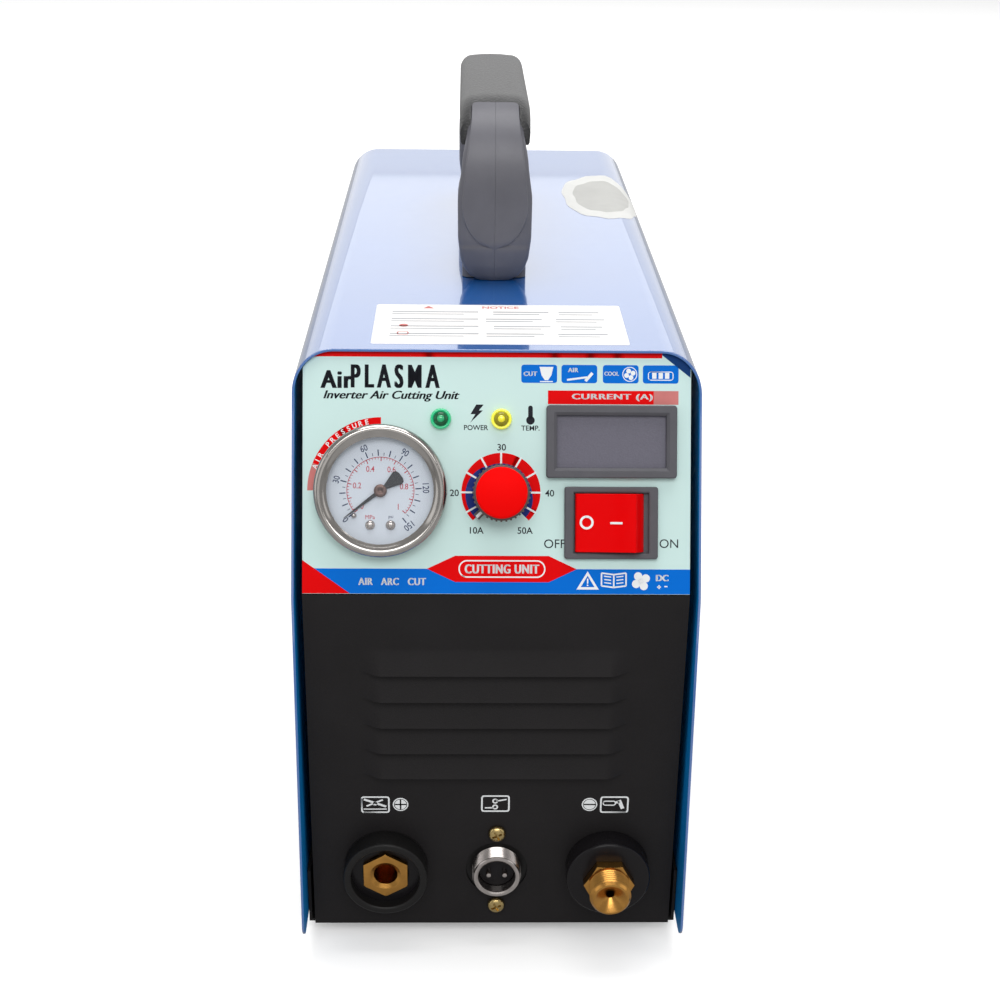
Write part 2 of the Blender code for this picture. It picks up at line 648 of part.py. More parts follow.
def make_knob(control, mats):
    """Current control: potentiometer behind the panel, its shaft, the ribbed knob and its cap."""
    back = -PANEL_SHEET - GAP
    pot = [(SHAFT_RADIUS + 0.0003, FACE - GAP), (0.0035, FACE - GAP), (0.0035, back), (0.008, back)]
    pot += [(0.008, back - 0.009), (SHAFT_RADIUS + 0.0003, back - 0.009)]
    piece("potentiometer", turned(pot), mats["steel"], control, (0, KNOB_UP, 0))
    axle = empty("knob_axis", (0, KNOB_UP, 0), parent=control)
    low = FACE + 0.0008
    top = FACE + KNOB_HEIGHT
    shaft = [(0, back - 0.006), (SHAFT_RADIUS, back - 0.006), (SHAFT_RADIUS, low + 0.007), (0, low + 0.007)]
    piece("potentiometer_shaft", turned(shaft, 20), mats["steel"], axle)
    skirt = arc((0, 0), KNOB_RADIUS, 0, 360 - 360 / 36, 35)
    ribbed = [(x * (1 - 0.045 * (i % 2)), y * (1 - 0.045 * (i % 2))) for i, (x, y) in enumerate(skirt)]
    knob = piece("knob_body", prism(ribbed, low, top - 0.003), mats["dark_plastic"], axle)
    tab = box((-0.0013, KNOB_RADIUS - 0.0025, low), (0.0013, KNOB_RADIUS + 0.0022, low + 0.004))
    turn = math.radians(135)
    boolean(knob, helper("knob_tab", tab, axle, rotation=(0, 0, turn)), "UNION")
    fit, end = SHAFT_RADIUS + 0.0002, low + 0.0074
    bore = [(0, low - 0.01), (fit, low - 0.01), (fit, end), (0, end)]
    boolean(knob, helper("knob_bore", turned(bore, 20), axle))
    cap = [(0, top - 0.003 + GAP), (KNOB_CAP_RADIUS, top - 0.003 + GAP), (KNOB_CAP_RADIUS, top - 0.0008)]
    cap += [(KNOB_CAP_RADIUS - 0.0008, top), (0, top)]
    piece("knob_cap", turned(cap), mats["red_plastic"], axle)


def make_lamps(control, mats):
    """Two indicator lamps with domed lenses that pass through the panel."""
    r = LAMP_RADIUS
    neck = r - 0.0006
    profile = [(0, -0.012), (neck, -0.012), (neck, FACE + GAP), (r, FACE + GAP), (r, FACE + 0.0016)]
    profile += [(r * 0.8, FACE + 0.0026), (r * 0.45, FACE + 0.0034), (0, FACE + 0.0036)]
    lamps = (("power_lamp", -LAMP_SPACING, "green_lens"), ("temperature_lamp", 0, "yellow_lens"))
    for name, x, mat in lamps:
        piece(name, turned(profile, 18), mats[mat], control, (x, LAMP_UP, 0))


def make_display(control, mats):
    """Panel meter: housing with its rim, and the dark window set in it."""
    frame = empty("display_frame", (DISPLAY_X, DISPLAY_UP, 0), parent=control)
    top = FACE + DISPLAY_PROUD
    rim = prism(rounded(DISPLAY_WIDTH, DISPLAY_HEIGHT, 0.0012), FACE + GAP, top)
    bezel = piece("display_bezel", rim, mats["dark_plastic"], frame)
    x, y = DISPLAY_WIDTH / 2 - 0.0026, DISPLAY_HEIGHT / 2 - 0.0026
    body = box((-x, -y, -0.018), (x, y, FACE + 0.001))
    boolean(bezel, helper("display_body", body, frame), "UNION")
    wx, wy = DISPLAY_WIDTH / 2 - DISPLAY_RIM, DISPLAY_HEIGHT / 2 - DISPLAY_RIM
    boolean(bezel, helper("display_well", box((-wx, -wy, FACE - 0.0016), (wx, wy, top + 0.01)), frame))
    inset = GAP
    window = box((-wx + inset, -wy + inset, FACE - 0.0013), (wx - inset, wy - inset, FACE + 0.0002))
    piece("display_window", window, mats["smoked"], frame)


def make_switch(control, mats):
    """Mains switch: frame and housing, with the rocker on its pivot, resting at O."""
    frame = empty("switch_place", (DISPLAY_X, SWITCH_UP, 0), parent=control)
    top = FACE + 0.0022
    rim = prism(rounded(SWITCH_WIDTH, SWITCH_HEIGHT, 0.001), FACE + GAP, top)
    housing = piece("switch_frame", rim, mats["dark_plastic"], frame)
    x, y = SWITCH_WIDTH / 2 - 0.0026, SWITCH_HEIGHT / 2 - 0.0026
    boolean(housing, helper("switch_body", box((-x, -y, -0.022), (x, y, FACE + 0.001)), frame), "UNION")
    wx, wy = ROCKER_WIDTH / 2 + CLEAR, ROCKER_HEIGHT / 2 + CLEAR
    boolean(housing, helper("switch_well", box((-wx, -wy, -0.018), (wx, wy, top + 0.01)), frame))
    pivot_z = FACE - ROCKER_PIVOT
    half = ROCKER_WIDTH / 2
    # End view (x, z) of the rocker with both wings level, turned to O at rest.
    wing = [(half - 0.0025, ROCKER_TOP), (half - 0.0007, 0.0058), (half, 0.003), (half + 0.0001, 0)]
    wing += [(half - 0.0006, -0.003), (0.0035, -0.0075)]
    outline = [(0, ROCKER_TOP - ROCKER_DIP), *wing, *((-x, z) for x, z in reversed(wing))]
    rocker = prism(outline, -ROCKER_HEIGHT / 2, ROCKER_HEIGHT / 2, ALONG_Y)
    piece(
        "switch_rocker", rocker, mats["red_plastic"], frame, (0, 0, pivot_z), (0, -ROCKER_TILT, 0)
    )


# ---------------------------------------------------------------- sockets
def cut_socket_holes(panel, sockets):
    """Holes of the lower panel for the two power sockets and the torch signal socket."""
    holes = bmesh.new()
    span = (-0.02, 0.01)

    def round_hole(x, up, radius, segments=SEGMENTS):
        profile = [(0, span[0]), (radius, span[0]), (radius, span[1]), (0, span[1])]
        add_turned(holes, profile, segments, (x, up, 0))

    for x in (-SOCKET_SPACING / 2, SOCKET_SPACING / 2):
        round_hole(x, SOCKET_UP, NECK_RADIUS + CLEAR)
    round_hole(0, SIGNAL_UP, SIGNAL_HOLE)
    for side in (-1, 1):
        round_hole(0, SIGNAL_UP + side * SIGNAL_SCREW_SPACING / 2, 0.0016 + CLEAR, 16)
    boolean(panel, helper("socket_holes", holes, sockets))


def make_power_sockets(sockets, mats):
    """Work-lead socket on the left and torch fitting on the right, each in its insulator."""
    left = empty("ground_place", (-SOCKET_SPACING / 2, SOCKET_UP, 0), parent=sockets)
    right = empty("torch_place", (SOCKET_SPACING / 2, SOCKET_UP, 0), parent=sockets)
    back = -PANEL_SHEET - NECK_DEPTH
    bore = HEX_ACROSS / math.sqrt(3) + CLEAR
    cup = INSULATOR_RADIUS - 0.003
    floor = INSULATOR_PROUD - 0.0048
    shape = [(bore, back), (NECK_RADIUS, back), (NECK_RADIUS, GAP), (INSULATOR_RADIUS, GAP)]
    shape += [(INSULATOR_RADIUS, INSULATOR_PROUD - 0.0006), (INSULATOR_RADIUS - 0.0006, INSULATOR_PROUD)]
    hollow = [(cup, INSULATOR_PROUD), (cup, floor), (bore, floor)]
    piece("ground_socket_body", turned(shape + hollow), mats["black_plastic"], left)
    solid = [(bore, INSULATOR_PROUD)]
    piece("torch_socket_body", turned(shape + solid), mats["black_plastic"], right)
    nut = prism(hexagon(HEX_ACROSS, 30), back + 0.004, floor + 0.002)
    insert = piece("ground_socket_insert", nut, mats["brass"], left)
    stem = [(0, back - 0.010), (0.005, back - 0.010), (0.005, back + 0.005), (0, back + 0.005)]
    boolean(insert, helper("ground_stem", turned(stem, 24), left), "UNION")
    hole = [(0, back + 0.010), (GROUND_BORE, back + 0.010), (GROUND_BORE, 0.05), (0, 0.05)]
    boolean(insert, helper("ground_bore", turned(hole, 24), left))
    nose = INSULATOR_PROUD + STUB_LENGTH
    nut = prism(hexagon(HEX_ACROSS), back + 0.004, INSULATOR_PROUD + 0.004)
    fitting = piece("torch_socket_fitting", nut, mats["brass"], right)
    stub = [(0, back - 0.012), (0.0055, back - 0.012), (0.0055, back + 0.006), (STUB_RADIUS, back + 0.008)]
    stub += [(STUB_RADIUS, nose - 0.0012), (STUB_RADIUS - 0.0012, nose), (0, nose)]
    boolean(fitting, helper("torch_stub", turned(stub), right), "UNION")
    mouth = [(0, back - 0.02), (0.0019, back - 0.02), (0.0019, nose - 0.005), (0.0058, nose + 0.0002)]
    mouth += [(0.0058, nose + 0.01), (0, nose + 0.01)]
    boolean(fitting, helper("torch_mouth", turned(mouth, 24), right))


def make_signal_socket(sockets, mats):
    """Two-pin socket for the torch trigger, held by a flange behind the panel."""
    frame = empty("signal_place", (0, SIGNAL_UP, 0), parent=sockets)
    back = -PANEL_SHEET - GAP
    bore = 0.0074
    neck, flange, round_off = SIGNAL_RADIUS - 0.001, SIGNAL_HOLE + 0.0004, 0.0004
    shell = [(bore, SIGNAL_PROUD), (bore, back - 0.012), (neck, back - 0.012)]
    shell += [(neck, back - 0.002), (flange, back - 0.002), (flange, back), (SIGNAL_RADIUS, back)]
    shell += [(SIGNAL_RADIUS, SIGNAL_PROUD - round_off), (SIGNAL_RADIUS - round_off, SIGNAL_PROUD)]
    shell = piece("signal_socket_shell", turned(shell), mats["nickel"], frame)
    ears = bmesh.new()
    reach = SIGNAL_SCREW_SPACING / 2 + 0.004
    for side in (-1, 1):
        ends = sorted((side * (SIGNAL_RADIUS + 0.001), side * reach))
        add_box(ears, (-0.004, ends[0], back - 0.0018), (0.004, ends[1], back - 0.0002))
    boolean(shell, helper("signal_ears", ears, frame), "UNION")
    holes = bmesh.new()
    for side in (-1, 1):
        y = side * SIGNAL_SCREW_SPACING / 2
        add_turned(holes, [(0, -0.02), (0.0016 + GAP, -0.02), (0.0016 + GAP, 0), (0, 0)], 16, (0, y, 0))
    boolean(shell, helper("signal_ear_holes", holes, frame))
    top = SIGNAL_PROUD - 0.0045
    insert = [(0, back - 0.011), (bore - GAP, back - 0.011), (bore - GAP, top), (0, top)]
    insert = piece("signal_socket_insert", turned(insert), mats["black_plastic"], frame)
    wells = bmesh.new()
    radius, tip = PIN_RADIUS, top + 0.0034
    pin = [(0, back - 0.015), (radius, back - 0.015), (radius, tip - 0.0006), (radius / 2, tip), (0, tip)]
    fit = radius + GAP
    for name, side in (("signal_pin_left", -1), ("signal_pin_right", 1)):
        x = side * PIN_SPACING / 2
        add_turned(wells, [(0, -0.03), (fit, -0.03), (fit, 0.01), (0, 0.01)], 16, (x, 0, 0))
        piece(name, turned(pin, 16), mats["nickel"], frame, (x, 0, 0))
    boolean(insert, helper("signal_wells", wells, frame))
    head = [(0, back - 0.006), (0.0016, back - 0.006), (0.0016, GAP), (0.0035, GAP), (0.0034, 0.0014)]
    head += [(0.0024, 0.0024), (0, 0.0026)]
    for name, side in (("signal_screw_lower", -1), ("signal_screw_upper", 1)):
        piece(name, turned(head, 20), mats["zinc"], frame, (0, side * SIGNAL_SCREW_SPACING / 2, 0))


# ---------------------------------------------------------------- handle
def handle_path():
    """Centreline (y, z) of the arch, from the front foot to the rear foot."""
    inset = HANDLE_THICK / 2
    low = TOP_Z + GAP
    high = TOP_Z + HANDLE_HEIGHT - inset
    front = HANDLE_FRONT + inset
    rear = HANDLE_FRONT + HANDLE_LENGTH - inset
    bend = HANDLE_BEND
    path = [(front + 0.002, low), (front, low + 0.02)]
    path += arc((front + bend, high - bend), bend, 180, 90, 5)
    path += arc((rear - bend, high - bend), bend, 90, 0, 5)
    path += [(rear, low + 0.02), (rear - 0.002, low)]
    return path


def sweep(path, section):
    """Carry an (x, depth) section along a path in the y-z plane, with closed ends."""
    mesh = bmesh.new()
    rings = []
    for i, (y, z) in enumerate(path):
        before = Vector(path[max(i - 1, 0)])
        after = Vector(path[min(i + 1, len(path) - 1)])
        along = (after - before).normalized()
        if i in (0, len(path) - 1):
            along = Vector((0, 1 if i == 0 else -1))
        across = Vector((-along.y, along.x))
        rings.append([mesh.verts.new((x, y + across.x * d, z + across.y * d)) for x, d in section])
    mesh.faces.new(rings[0][::-1])
    mesh.faces.new(rings[-1])
    count = len(section)
    for near, far in zip(rings, rings[1:]):
        for i in range(count):
            j = (i + 1) % count
            mesh.faces.new([near[i], near[j], far[j], far[i]])
    bmesh.ops.recalc_face_normals(mesh, faces=mesh.faces)
    return mesh


def make_handle(frame, mats):
    """Two moulded halves that meet on the centre plane, with a grained cap on the grip."""
    section = rounded(HANDLE_WIDTH, HANDLE_THICK, 0.006, steps=2)
    inner = HANDLE_FRONT + HANDLE_THICK * 0.5
    outer = HANDLE_FRONT + HANDLE_LENGTH - HANDLE_THICK * 0.5
    cap_low = TOP_Z + HANDLE_HEIGHT - GRIP_CAP
    cap_start, cap_end = HANDLE_FRONT + GRIP_INSET, HANDLE_FRONT + HANDLE_LENGTH - GRIP_INSET
    block = HANDLE_FOOT + 0.006
    blocks = ((inner, HANDLE_FRONT + block), (outer, HANDLE_FRONT + HANDLE_LENGTH - block))
    wide = HANDLE_WIDTH
    for name, low_x, high_x in (("handle_left", -wide, -GAP / 2), ("handle_right", GAP / 2, wide)):
        half = piece(name, sweep(handle_path(), section), mats["black_plastic"], frame)
        feet = bmesh.new()
        for start, end in blocks:
            low = (-HANDLE_FOOT_WIDTH / 2, min(start, end), TOP_Z + GAP)
            add_box(feet, low, (HANDLE_FOOT_WIDTH / 2, max(start, end), TOP_Z + FOOT_BLOCK))
        boolean(half, helper(name + "_feet", feet, frame), "UNION")
        clear = box((-wide, cap_start - GAP, cap_low - GAP), (wide, cap_end + GAP, TOP_Z + 0.2))
        boolean(half, helper(name + "_seat", clear, frame))
        side = box((low_x, 0, 0), (high_x, CASE_LENGTH, 1))
        boolean(half, helper(name + "_side", side, frame), "INTERSECT")
        holes = bmesh.new()
        bore, deep = BOLT_RADIUS + GAP, BOLT_REACH + 0.0015
        for x, y in handle_bolt_places():
            add_turned(holes, [(0, -deep), (bore, -deep), (bore, deep), (0, deep)], 16, (x, y, TOP_Z))
        boolean(half, helper(name + "_bolt_holes", holes, frame))
    grip = piece("handle_grip", sweep(handle_path(), section), mats["grained_plastic"], frame)
    keep = box((-wide, cap_start, cap_low), (wide, cap_end, TOP_Z + 0.2))
    boolean(grip, helper("grip_cap", keep, frame), "INTERSECT")
    under = -COVER_SHEET - GAP
    bolt = [(0, under - 0.0032), (BOLT_HEAD, under - 0.0032), (BOLT_HEAD, under), (BOLT_RADIUS, under)]
    bolt += [(BOLT_RADIUS, BOLT_REACH), (0, BOLT_REACH)]
    for name, (x, y) in zip(("handle_bolt_front", "handle_bolt_rear"), handle_bolt_places()):
        piece(name, turned(bolt, 20), mats["zinc"], frame, (x, y, TOP_Z))


# ---------------------------------------------------------------- rear pieces
def fan_up():
    return FAN_UP - BASE_Z


def make_fan(rear, panel, mats):
    """Axial fan behind a ring guard; the rotor's origin is on its axis."""
    frame = empty("fan_place", (0, fan_up(), 0), parent=rear)
    hole = [(0, -0.03), (FAN_BORE, -0.03), (FAN_BORE, 0.01), (0, 0.01)]
    boolean(panel, helper("fan_hole", turned(hole, 32), frame))
    back = -PANEL_SHEET - GAP
    front = back - FAN_DEPTH
    shape = prism(rounded(FAN_SIZE, FAN_SIZE, 0.006), front, back)
    body = piece("fan_frame", shape, mats["black_plastic"], frame)
    bore = [(0, front - 0.01), (FAN_BORE, front - 0.01), (FAN_BORE, 0.01), (0, 0.01)]
    boolean(body, helper("fan_bore", turned(bore, 32), frame))
    mount = bmesh.new()
    seat = HUB_RADIUS + 0.001
    add_turned(mount, [(0, front), (seat, front), (seat, front + 0.003), (0, front + 0.003)])
    boolean(body, helper("fan_spokes", fan_spokes(front), frame), "UNION")
    boolean(body, helper("fan_mount", mount, frame), "UNION")
    low, high = front + 0.0045, back - 0.002
    hub = [(0, low), (HUB_RADIUS, low), (HUB_RADIUS, high - 0.001), (HUB_RADIUS - 0.001, high), (0, high)]
    rotor = piece("fan_rotor", turned(hub), mats["black_plastic"], frame)
    boolean(rotor, helper("fan_blades", fan_blades(low, high), frame), "UNION")
    make_guard(frame, mats)


def fan_spokes(front):
    """Two crossed bars that carry the fan's motor mount."""
    reach, half = FAN_BORE + 0.001, SPOKE_WIDTH / 2
    arm = [(half, half), (half, reach), (-half, reach)]
    quarters = ((1, 0), (0, 1), (-1, 0), (0, -1))
    cross = [(x * c - y * s, x * s + y * c) for c, s in quarters for x, y in arm]
    return prism(cross, front + 0.0002, front + 0.0028)


def fan_blades(low, high):
    """Flat pitched blades from the hub to near the bore."""
    mesh = bmesh.new()
    chord = BLADE_CHORD / 2
    root = math.sqrt((HUB_RADIUS - 0.0015) ** 2 - chord**2)
    tip = math.sqrt((FAN_BORE - BLADE_TIP_GAP) ** 2 - (chord + BLADE_SHEET) ** 2)
    bottom, top = low + 0.002, high - 0.002
    slab = [(-chord, bottom), (-chord + BLADE_SHEET, bottom), (chord, top), (chord - BLADE_SHEET, top)]
    for blade in range(BLADE_COUNT):
        turn = Matrix.Rotation(2 * math.pi * blade / BLADE_COUNT, 4, "Z")
        add_prism(mesh, slab, root, tip, turn @ ALONG_X)
    return mesh


def make_guard(frame, mats):
    """Ring guard: concentric rings on four spokes, with a solid middle."""
    disc = [(0, GAP), (GUARD_RADIUS, GAP), (GUARD_RADIUS, GUARD_PROUD), (0, GUARD_PROUD)]
    guard = piece("fan_guard", turned(disc, 32), mats["chrome"], frame)
    slots = bmesh.new()
    pitch = (GUARD_RADIUS - GUARD_MIDDLE - GUARD_RING / 2) / GUARD_RINGS
    for k in range(GUARD_RINGS):
        low_r = GUARD_MIDDLE + k * pitch
        high_r = low_r + pitch - GUARD_RING
        for quarter in range(4):
            edge = math.degrees(GUARD_SPOKE / low_r)
            start, end = 90 * quarter + edge, 90 * (quarter + 1) - edge
            outline = arc((0, 0), high_r, start, end, 4) + arc((0, 0), low_r, end, start, 4)
            add_prism(slots, outline, -0.001, 0.01)
    boolean(guard, helper("guard_slots", slots, frame))


def make_rear_fittings(rear, panel, mats):
    """Mains cable gland with its dome nut, and the air inlet's hose tail."""
    gland = empty("gland_place", (GLAND_SIDE, GLAND_UP - BASE_Z, 0), parent=rear)
    inlet = empty("inlet_place", (-INLET_SIDE, INLET_UP - BASE_Z, 0), parent=rear)
    holes = bmesh.new()
    for x, z, thread in ((GLAND_SIDE, GLAND_UP, GLAND_THREAD), (-INLET_SIDE, INLET_UP, INLET_THREAD)):
        radius = thread + CLEAR
        add_turned(holes, [(0, -0.02), (radius, -0.02), (radius, 0.01), (0, 0.01)], 24, (x, z - BASE_Z, 0))
    boolean(panel, helper("rear_holes", holes, rear))
    bore, thread, neck = GLAND_BORE, GLAND_THREAD, GLAND_NECK
    flange, seat, top = thread + 0.0025, 0.006, 0.011
    body = [(bore, -0.012), (thread, -0.012), (thread, GAP), (flange, GAP), (flange, seat)]
    body += [(neck, seat), (neck, top), (bore, top)]
    piece("gland_body", turned(body, 18), mats["black_plastic"], gland)
    cap = [(neck + GAP, seat + GAP), (GLAND_RADIUS, seat + GAP), (GLAND_RADIUS, 0.017), (neck, GLAND_PROUD)]
    cap += [(bore + 0.0006, GLAND_PROUD), (bore + 0.0006, top + GAP), (neck + GAP, top + GAP)]
    piece("gland_cap", turned(cap, 18), mats["black_plastic"], gland)
    thread = INLET_THREAD
    tail = [(0.0025, -0.016), (0.0045, -0.016), (0.0045, -0.006), (thread, -0.006), (thread, GAP)]
    tail += [(0.0085, GAP), (0.0085, 0.005), (0.0045, 0.005)]
    for barb in range(3):
        start = 0.007 + barb * 0.0045
        tail += [(0.0049, start), (0.0041, start + 0.004)]
    tail += [(0.0038, 0.0215), (0.0025, 0.0215)]
    piece("air_inlet", turned(tail, 14), mats["brass"], inlet)


# ---------------------------------------------------------------- inside
def board_top():
    return BASE_Z + PANEL_SHEET + BOARD_STUD + GAP + BOARD_SHEET


def make_power_stage(frame, mats):
    """Main board with its heat sinks, transformer, choke, capacitor and arc starter."""
    start, end = BOARD_START, REAR_Y - BOARD_END
    low = board_top() - BOARD_SHEET
    board = box((-BOARD_WIDTH / 2, start, low), (BOARD_WIDTH / 2, end, low + BOARD_SHEET))
    piece("main_board", board, mats["board"], frame)
    floor = board_top() + GAP
    sink_end = end - 0.006
    for name, side in (("heat_sink_left", -1), ("heat_sink_right", 1)):
        outline = [(side * x, z + floor) for x, z in sink_outline()]
        sink = prism(outline[::side], sink_end - SINK_LENGTH, sink_end, ALONG_Y)
        piece(name, sink, mats["aluminium"], frame)
    middle = start + CORE_PLACE
    core_middle = (0, middle, floor + CORE_HEIGHT / 2)
    core = box(*around(core_middle, (CORE_WIDTH / 2, CORE_LENGTH / 2, CORE_HEIGHT / 2)))
    transformer = piece("main_transformer", core, mats["ferrite"], frame)
    outline = rounded(CORE_WIDTH - 0.016, CORE_LENGTH + 0.016, 0.010, (0, middle))
    winding = prism(outline, floor + 0.010, floor + CORE_HEIGHT - 0.010)
    boolean(transformer, helper("transformer_winding", winding, frame), "UNION")
    hole, rim, tall, edge = CHOKE_HOLE, CHOKE_RADIUS, CHOKE_HEIGHT, 0.002
    ring = [(hole, 0), (rim - edge, 0), (rim, edge), (rim, tall - edge), (rim - edge, tall), (hole, tall)]
    piece("output_inductor", turned(ring), mats["copper"], frame, (CHOKE_X, start + CHOKE_PLACE, floor))
    wide, tall = CAN_RADIUS, CAN_HEIGHT
    can = [(0, 0), (wide, 0), (wide, tall - 0.001), (wide - 0.001, tall), (0, tall)]
    piece("bus_capacitor", turned(can), mats["black_plastic"], frame, (CAN_X, middle, floor))
    outline = rounded(STARTER_WIDTH, STARTER_LENGTH, 0.003, (STARTER_X, start + CHOKE_PLACE))
    piece("arc_starter", prism(outline, floor, floor + STARTER_HEIGHT), mats["black_plastic"], frame)


def sink_outline():
    """End view (x, z) of the right heat sink: a spine with fins outwards."""
    spine, outer = SINK_SPINE + SINK_WALL, BOARD_WIDTH / 2 - 0.003
    outline = [(SINK_SPINE, 0), (spine, 0)]
    for fin in range(FIN_COUNT):
        z = 0.002 + fin * FIN_PITCH
        outline += [(spine, z), (outer, z), (outer, z + FIN_SHEET), (spine, z + FIN_SHEET)]
    return [*outline, (spine, SINK_HEIGHT), (SINK_SPINE, SINK_HEIGHT)]


def make_control_board(frame, mats):
    """Upright board behind the control panel."""
    half, low, high = CONTROL_BOARD_WIDTH / 2, board_top() + SINK_HEIGHT + 0.007, PANEL_TOP_Z - 0.018
    board = box((-half, CONTROL_BOARD_Y, low), (half, CONTROL_BOARD_Y + BOARD_SHEET, high))
    piece("control_board", board, mats["board"], frame)


def make_air_line(frame, mats):
    """Solenoid valve with its plunger, and the hose to the torch fitting and gauge."""
    valve_x, valve_y, valve_z = INLET_SIDE, REAR_Y - VALVE_BACK, INLET_UP
    middle, half = (valve_x, valve_y, valve_z), VALVE_WIDTH / 2
    body = box(*around(middle, (half, half, VALVE_HEIGHT / 2)))
    valve = piece("solenoid_valve", body, mats["brass"], frame)
    coil = [(0, COIL_LOW), (COIL_RADIUS, COIL_LOW), (COIL_RADIUS, COIL_TOP), (0, COIL_TOP)]
    boolean(valve, helper("valve_coil", turned(coil, 24), frame, middle), "UNION")
    fit, floor = PLUNGER_BORE, COIL_LOW + 0.004
    bore = [(0, floor), (fit, floor), (fit, COIL_TOP + 0.014), (0, COIL_TOP + 0.014)]
    boolean(valve, helper("valve_bore", turned(bore, 16), frame, middle))
    plunger = [(0, 0), (PLUNGER_RADIUS, 0), (PLUNGER_RADIUS, PLUNGER_LENGTH), (0, PLUNGER_LENGTH)]
    place = (valve_x, valve_y, valve_z + floor + CLEAR)
    piece("valve_plunger", turned(plunger, 16), mats["steel"], frame, place)
    side = INNER_HALF - 0.009
    torch = (FACE_SHIFT + SOCKET_SPACING / 2, LOWER_RECESS + PANEL_SHEET + NECK_DEPTH + 0.0125, BASE_Z + SOCKET_UP)
    tee = (side, valve_y - 0.050, valve_z)
    run = [(valve_x, valve_y - half - 0.0006, valve_z), (valve_x, valve_y - half - 0.010, valve_z), tee]
    run += [(side, torch[1] + 0.060, torch[2]), (torch[0], torch[1] + 0.014, torch[2]), torch]
    hose = tube("air_hose", smooth_route(run), HOSE_RADIUS, mats["hose"], frame)
    top = PANEL_TOP_Z - 0.012
    normal = Vector((0, -math.cos(SLOPE_LEAN), math.sin(SLOPE_LEAN)))
    up = Vector((0, math.sin(SLOPE_LEAN), math.cos(SLOPE_LEAN)))
    stem = Vector((FACE_SHIFT + GAUGE_X, BEND_Y, BEND_Z)) + up * GAUGE_UP - normal * (GAUGE_DEPTH + 0.0152)
    away = stem - normal * 0.010
    branch = [tee, (side, tee[1] - 0.02, tee[2] + 0.05), (side - 0.001, tee[1] - 0.03, top - 0.04)]
    branch += [(side - 0.012, tee[1] - 0.045, top), (side - 0.03, CONTROL_BOARD_Y + 0.03, top)]
    branch += [(GAUGE_X + 0.03, CONTROL_BOARD_Y - 0.012, top), tuple(away), tuple(stem)]
    gauge_run = tube("gauge_branch", smooth_route(branch), BRANCH_RADIUS, mats["hose"], frame)
    gauge_run.hide_render = True
    gauge_run.display_type = "WIRE"
    return hose, gauge_run


def make_screws(frame, mats):
    """Cover screws through the sides into the tray's flanges."""
    names = [f"cover_screw_{side}_{end}" for side in ("left", "right") for end in ("front", "rear")]
    shank, wide, tall = SCREW_RADIUS, SCREW_HEAD, 0.0023
    head = [(0, -SCREW_LENGTH), (shank, -SCREW_LENGTH), (shank, GAP), (wide, GAP)]
    head += [(wide - 0.0002, tall - 0.0011), (wide - 0.0014, tall - 0.0002), (0, tall)]
    for name, (side, y) in zip(names, cover_screw_places()):
        turn = (0, side * math.pi / 2, 0)
        place = (side * HALF, y, cover_screw_z())
        piece(name, turned(head, 20), mats["black_metal"], frame, place, turn)


# ---------------------------------------------------------------- whole
def make_materials():
    return {
        "blue_paint": material("blue_paint", (0.008, 0.09, 0.42), 0.22),
        "black_paint": material("black_paint", (0.014, 0.013, 0.014), 0.42),
        "overlay": material("overlay", (0.50, 0.58, 0.56), 0.35),
        "chrome": material("chrome", (0.75, 0.74, 0.71), 0.12, 1.0),
        "steel": material("steel", (0.55, 0.55, 0.54), 0.35, 1.0),
        "nickel": material("nickel", (0.66, 0.64, 0.60), 0.25, 1.0),
        "zinc": material("zinc", (0.62, 0.50, 0.28), 0.30, 1.0),
        "brass": material("brass", (0.66, 0.38, 0.12), 0.24, 1.0),
        "dial": material("dial", (0.80, 0.82, 0.85), 0.5),
        "glass": material("glass", (0.95, 0.96, 0.97), 0.05, 0.0, 0.15),
        "smoked": material("smoked", (0.09, 0.09, 0.11), 0.25),
        "black_metal": material("black_metal", (0.02, 0.02, 0.02), 0.35, 0.6),
        "black_plastic": material("black_plastic", (0.02, 0.02, 0.021), 0.45),
        "grained_plastic": material("grained_plastic", (0.06, 0.06, 0.06), 0.6),
        "dark_plastic": material("dark_plastic", (0.045, 0.047, 0.052), 0.45),
        "red_plastic": material("red_plastic", (0.75, 0.012, 0.012), 0.25),
        "green_lens": material("green_lens", (0.01, 0.35, 0.10), 0.12),
        "yellow_lens": material("yellow_lens", (0.70, 0.55, 0.02), 0.12),
        "rubber": material("rubber", (0.02, 0.02, 0.02), 0.85),
        "board": material("board", (0.02, 0.12, 0.05), 0.5),
        "aluminium": material("aluminium", (0.7, 0.7, 0.72), 0.4, 1.0),
        "ferrite": material("ferrite", (0.05, 0.05, 0.055), 0.6),
        "copper": material("copper", (0.60, 0.26, 0.13), 0.3, 1.0),
        "hose": material("hose", (0.03, 0.05, 0.30), 0.5),
    }


def join_hose(hose, branch):
    """Turn the two runs of hose into meshes and join them into one body at the tee."""
    meshes = []
    for obj in (hose, branch):
        graph = bpy.context.evaluated_depsgraph_get()
        meshes.append(bpy.data.meshes.new_from_object(obj.evaluated_get(graph)))
    frame, mat = hose.parent, hose.data.materials[0]
    for obj in (hose, branch):
        bpy.data.objects.remove(obj)
    made = []
    for name, data in zip(("air_hose", "gauge_branch"), meshes):
        mesh = bmesh.new()
        mesh.from_mesh(data)
        bmesh.ops.remove_doubles(mesh, verts=mesh.verts, dist=1e-6)
        made.append(piece(name, mesh, mat, frame))
    made[1].hide_render = True
    made[1].display_type = "WIRE"
    boolean(made[0], made[1], "UNION")


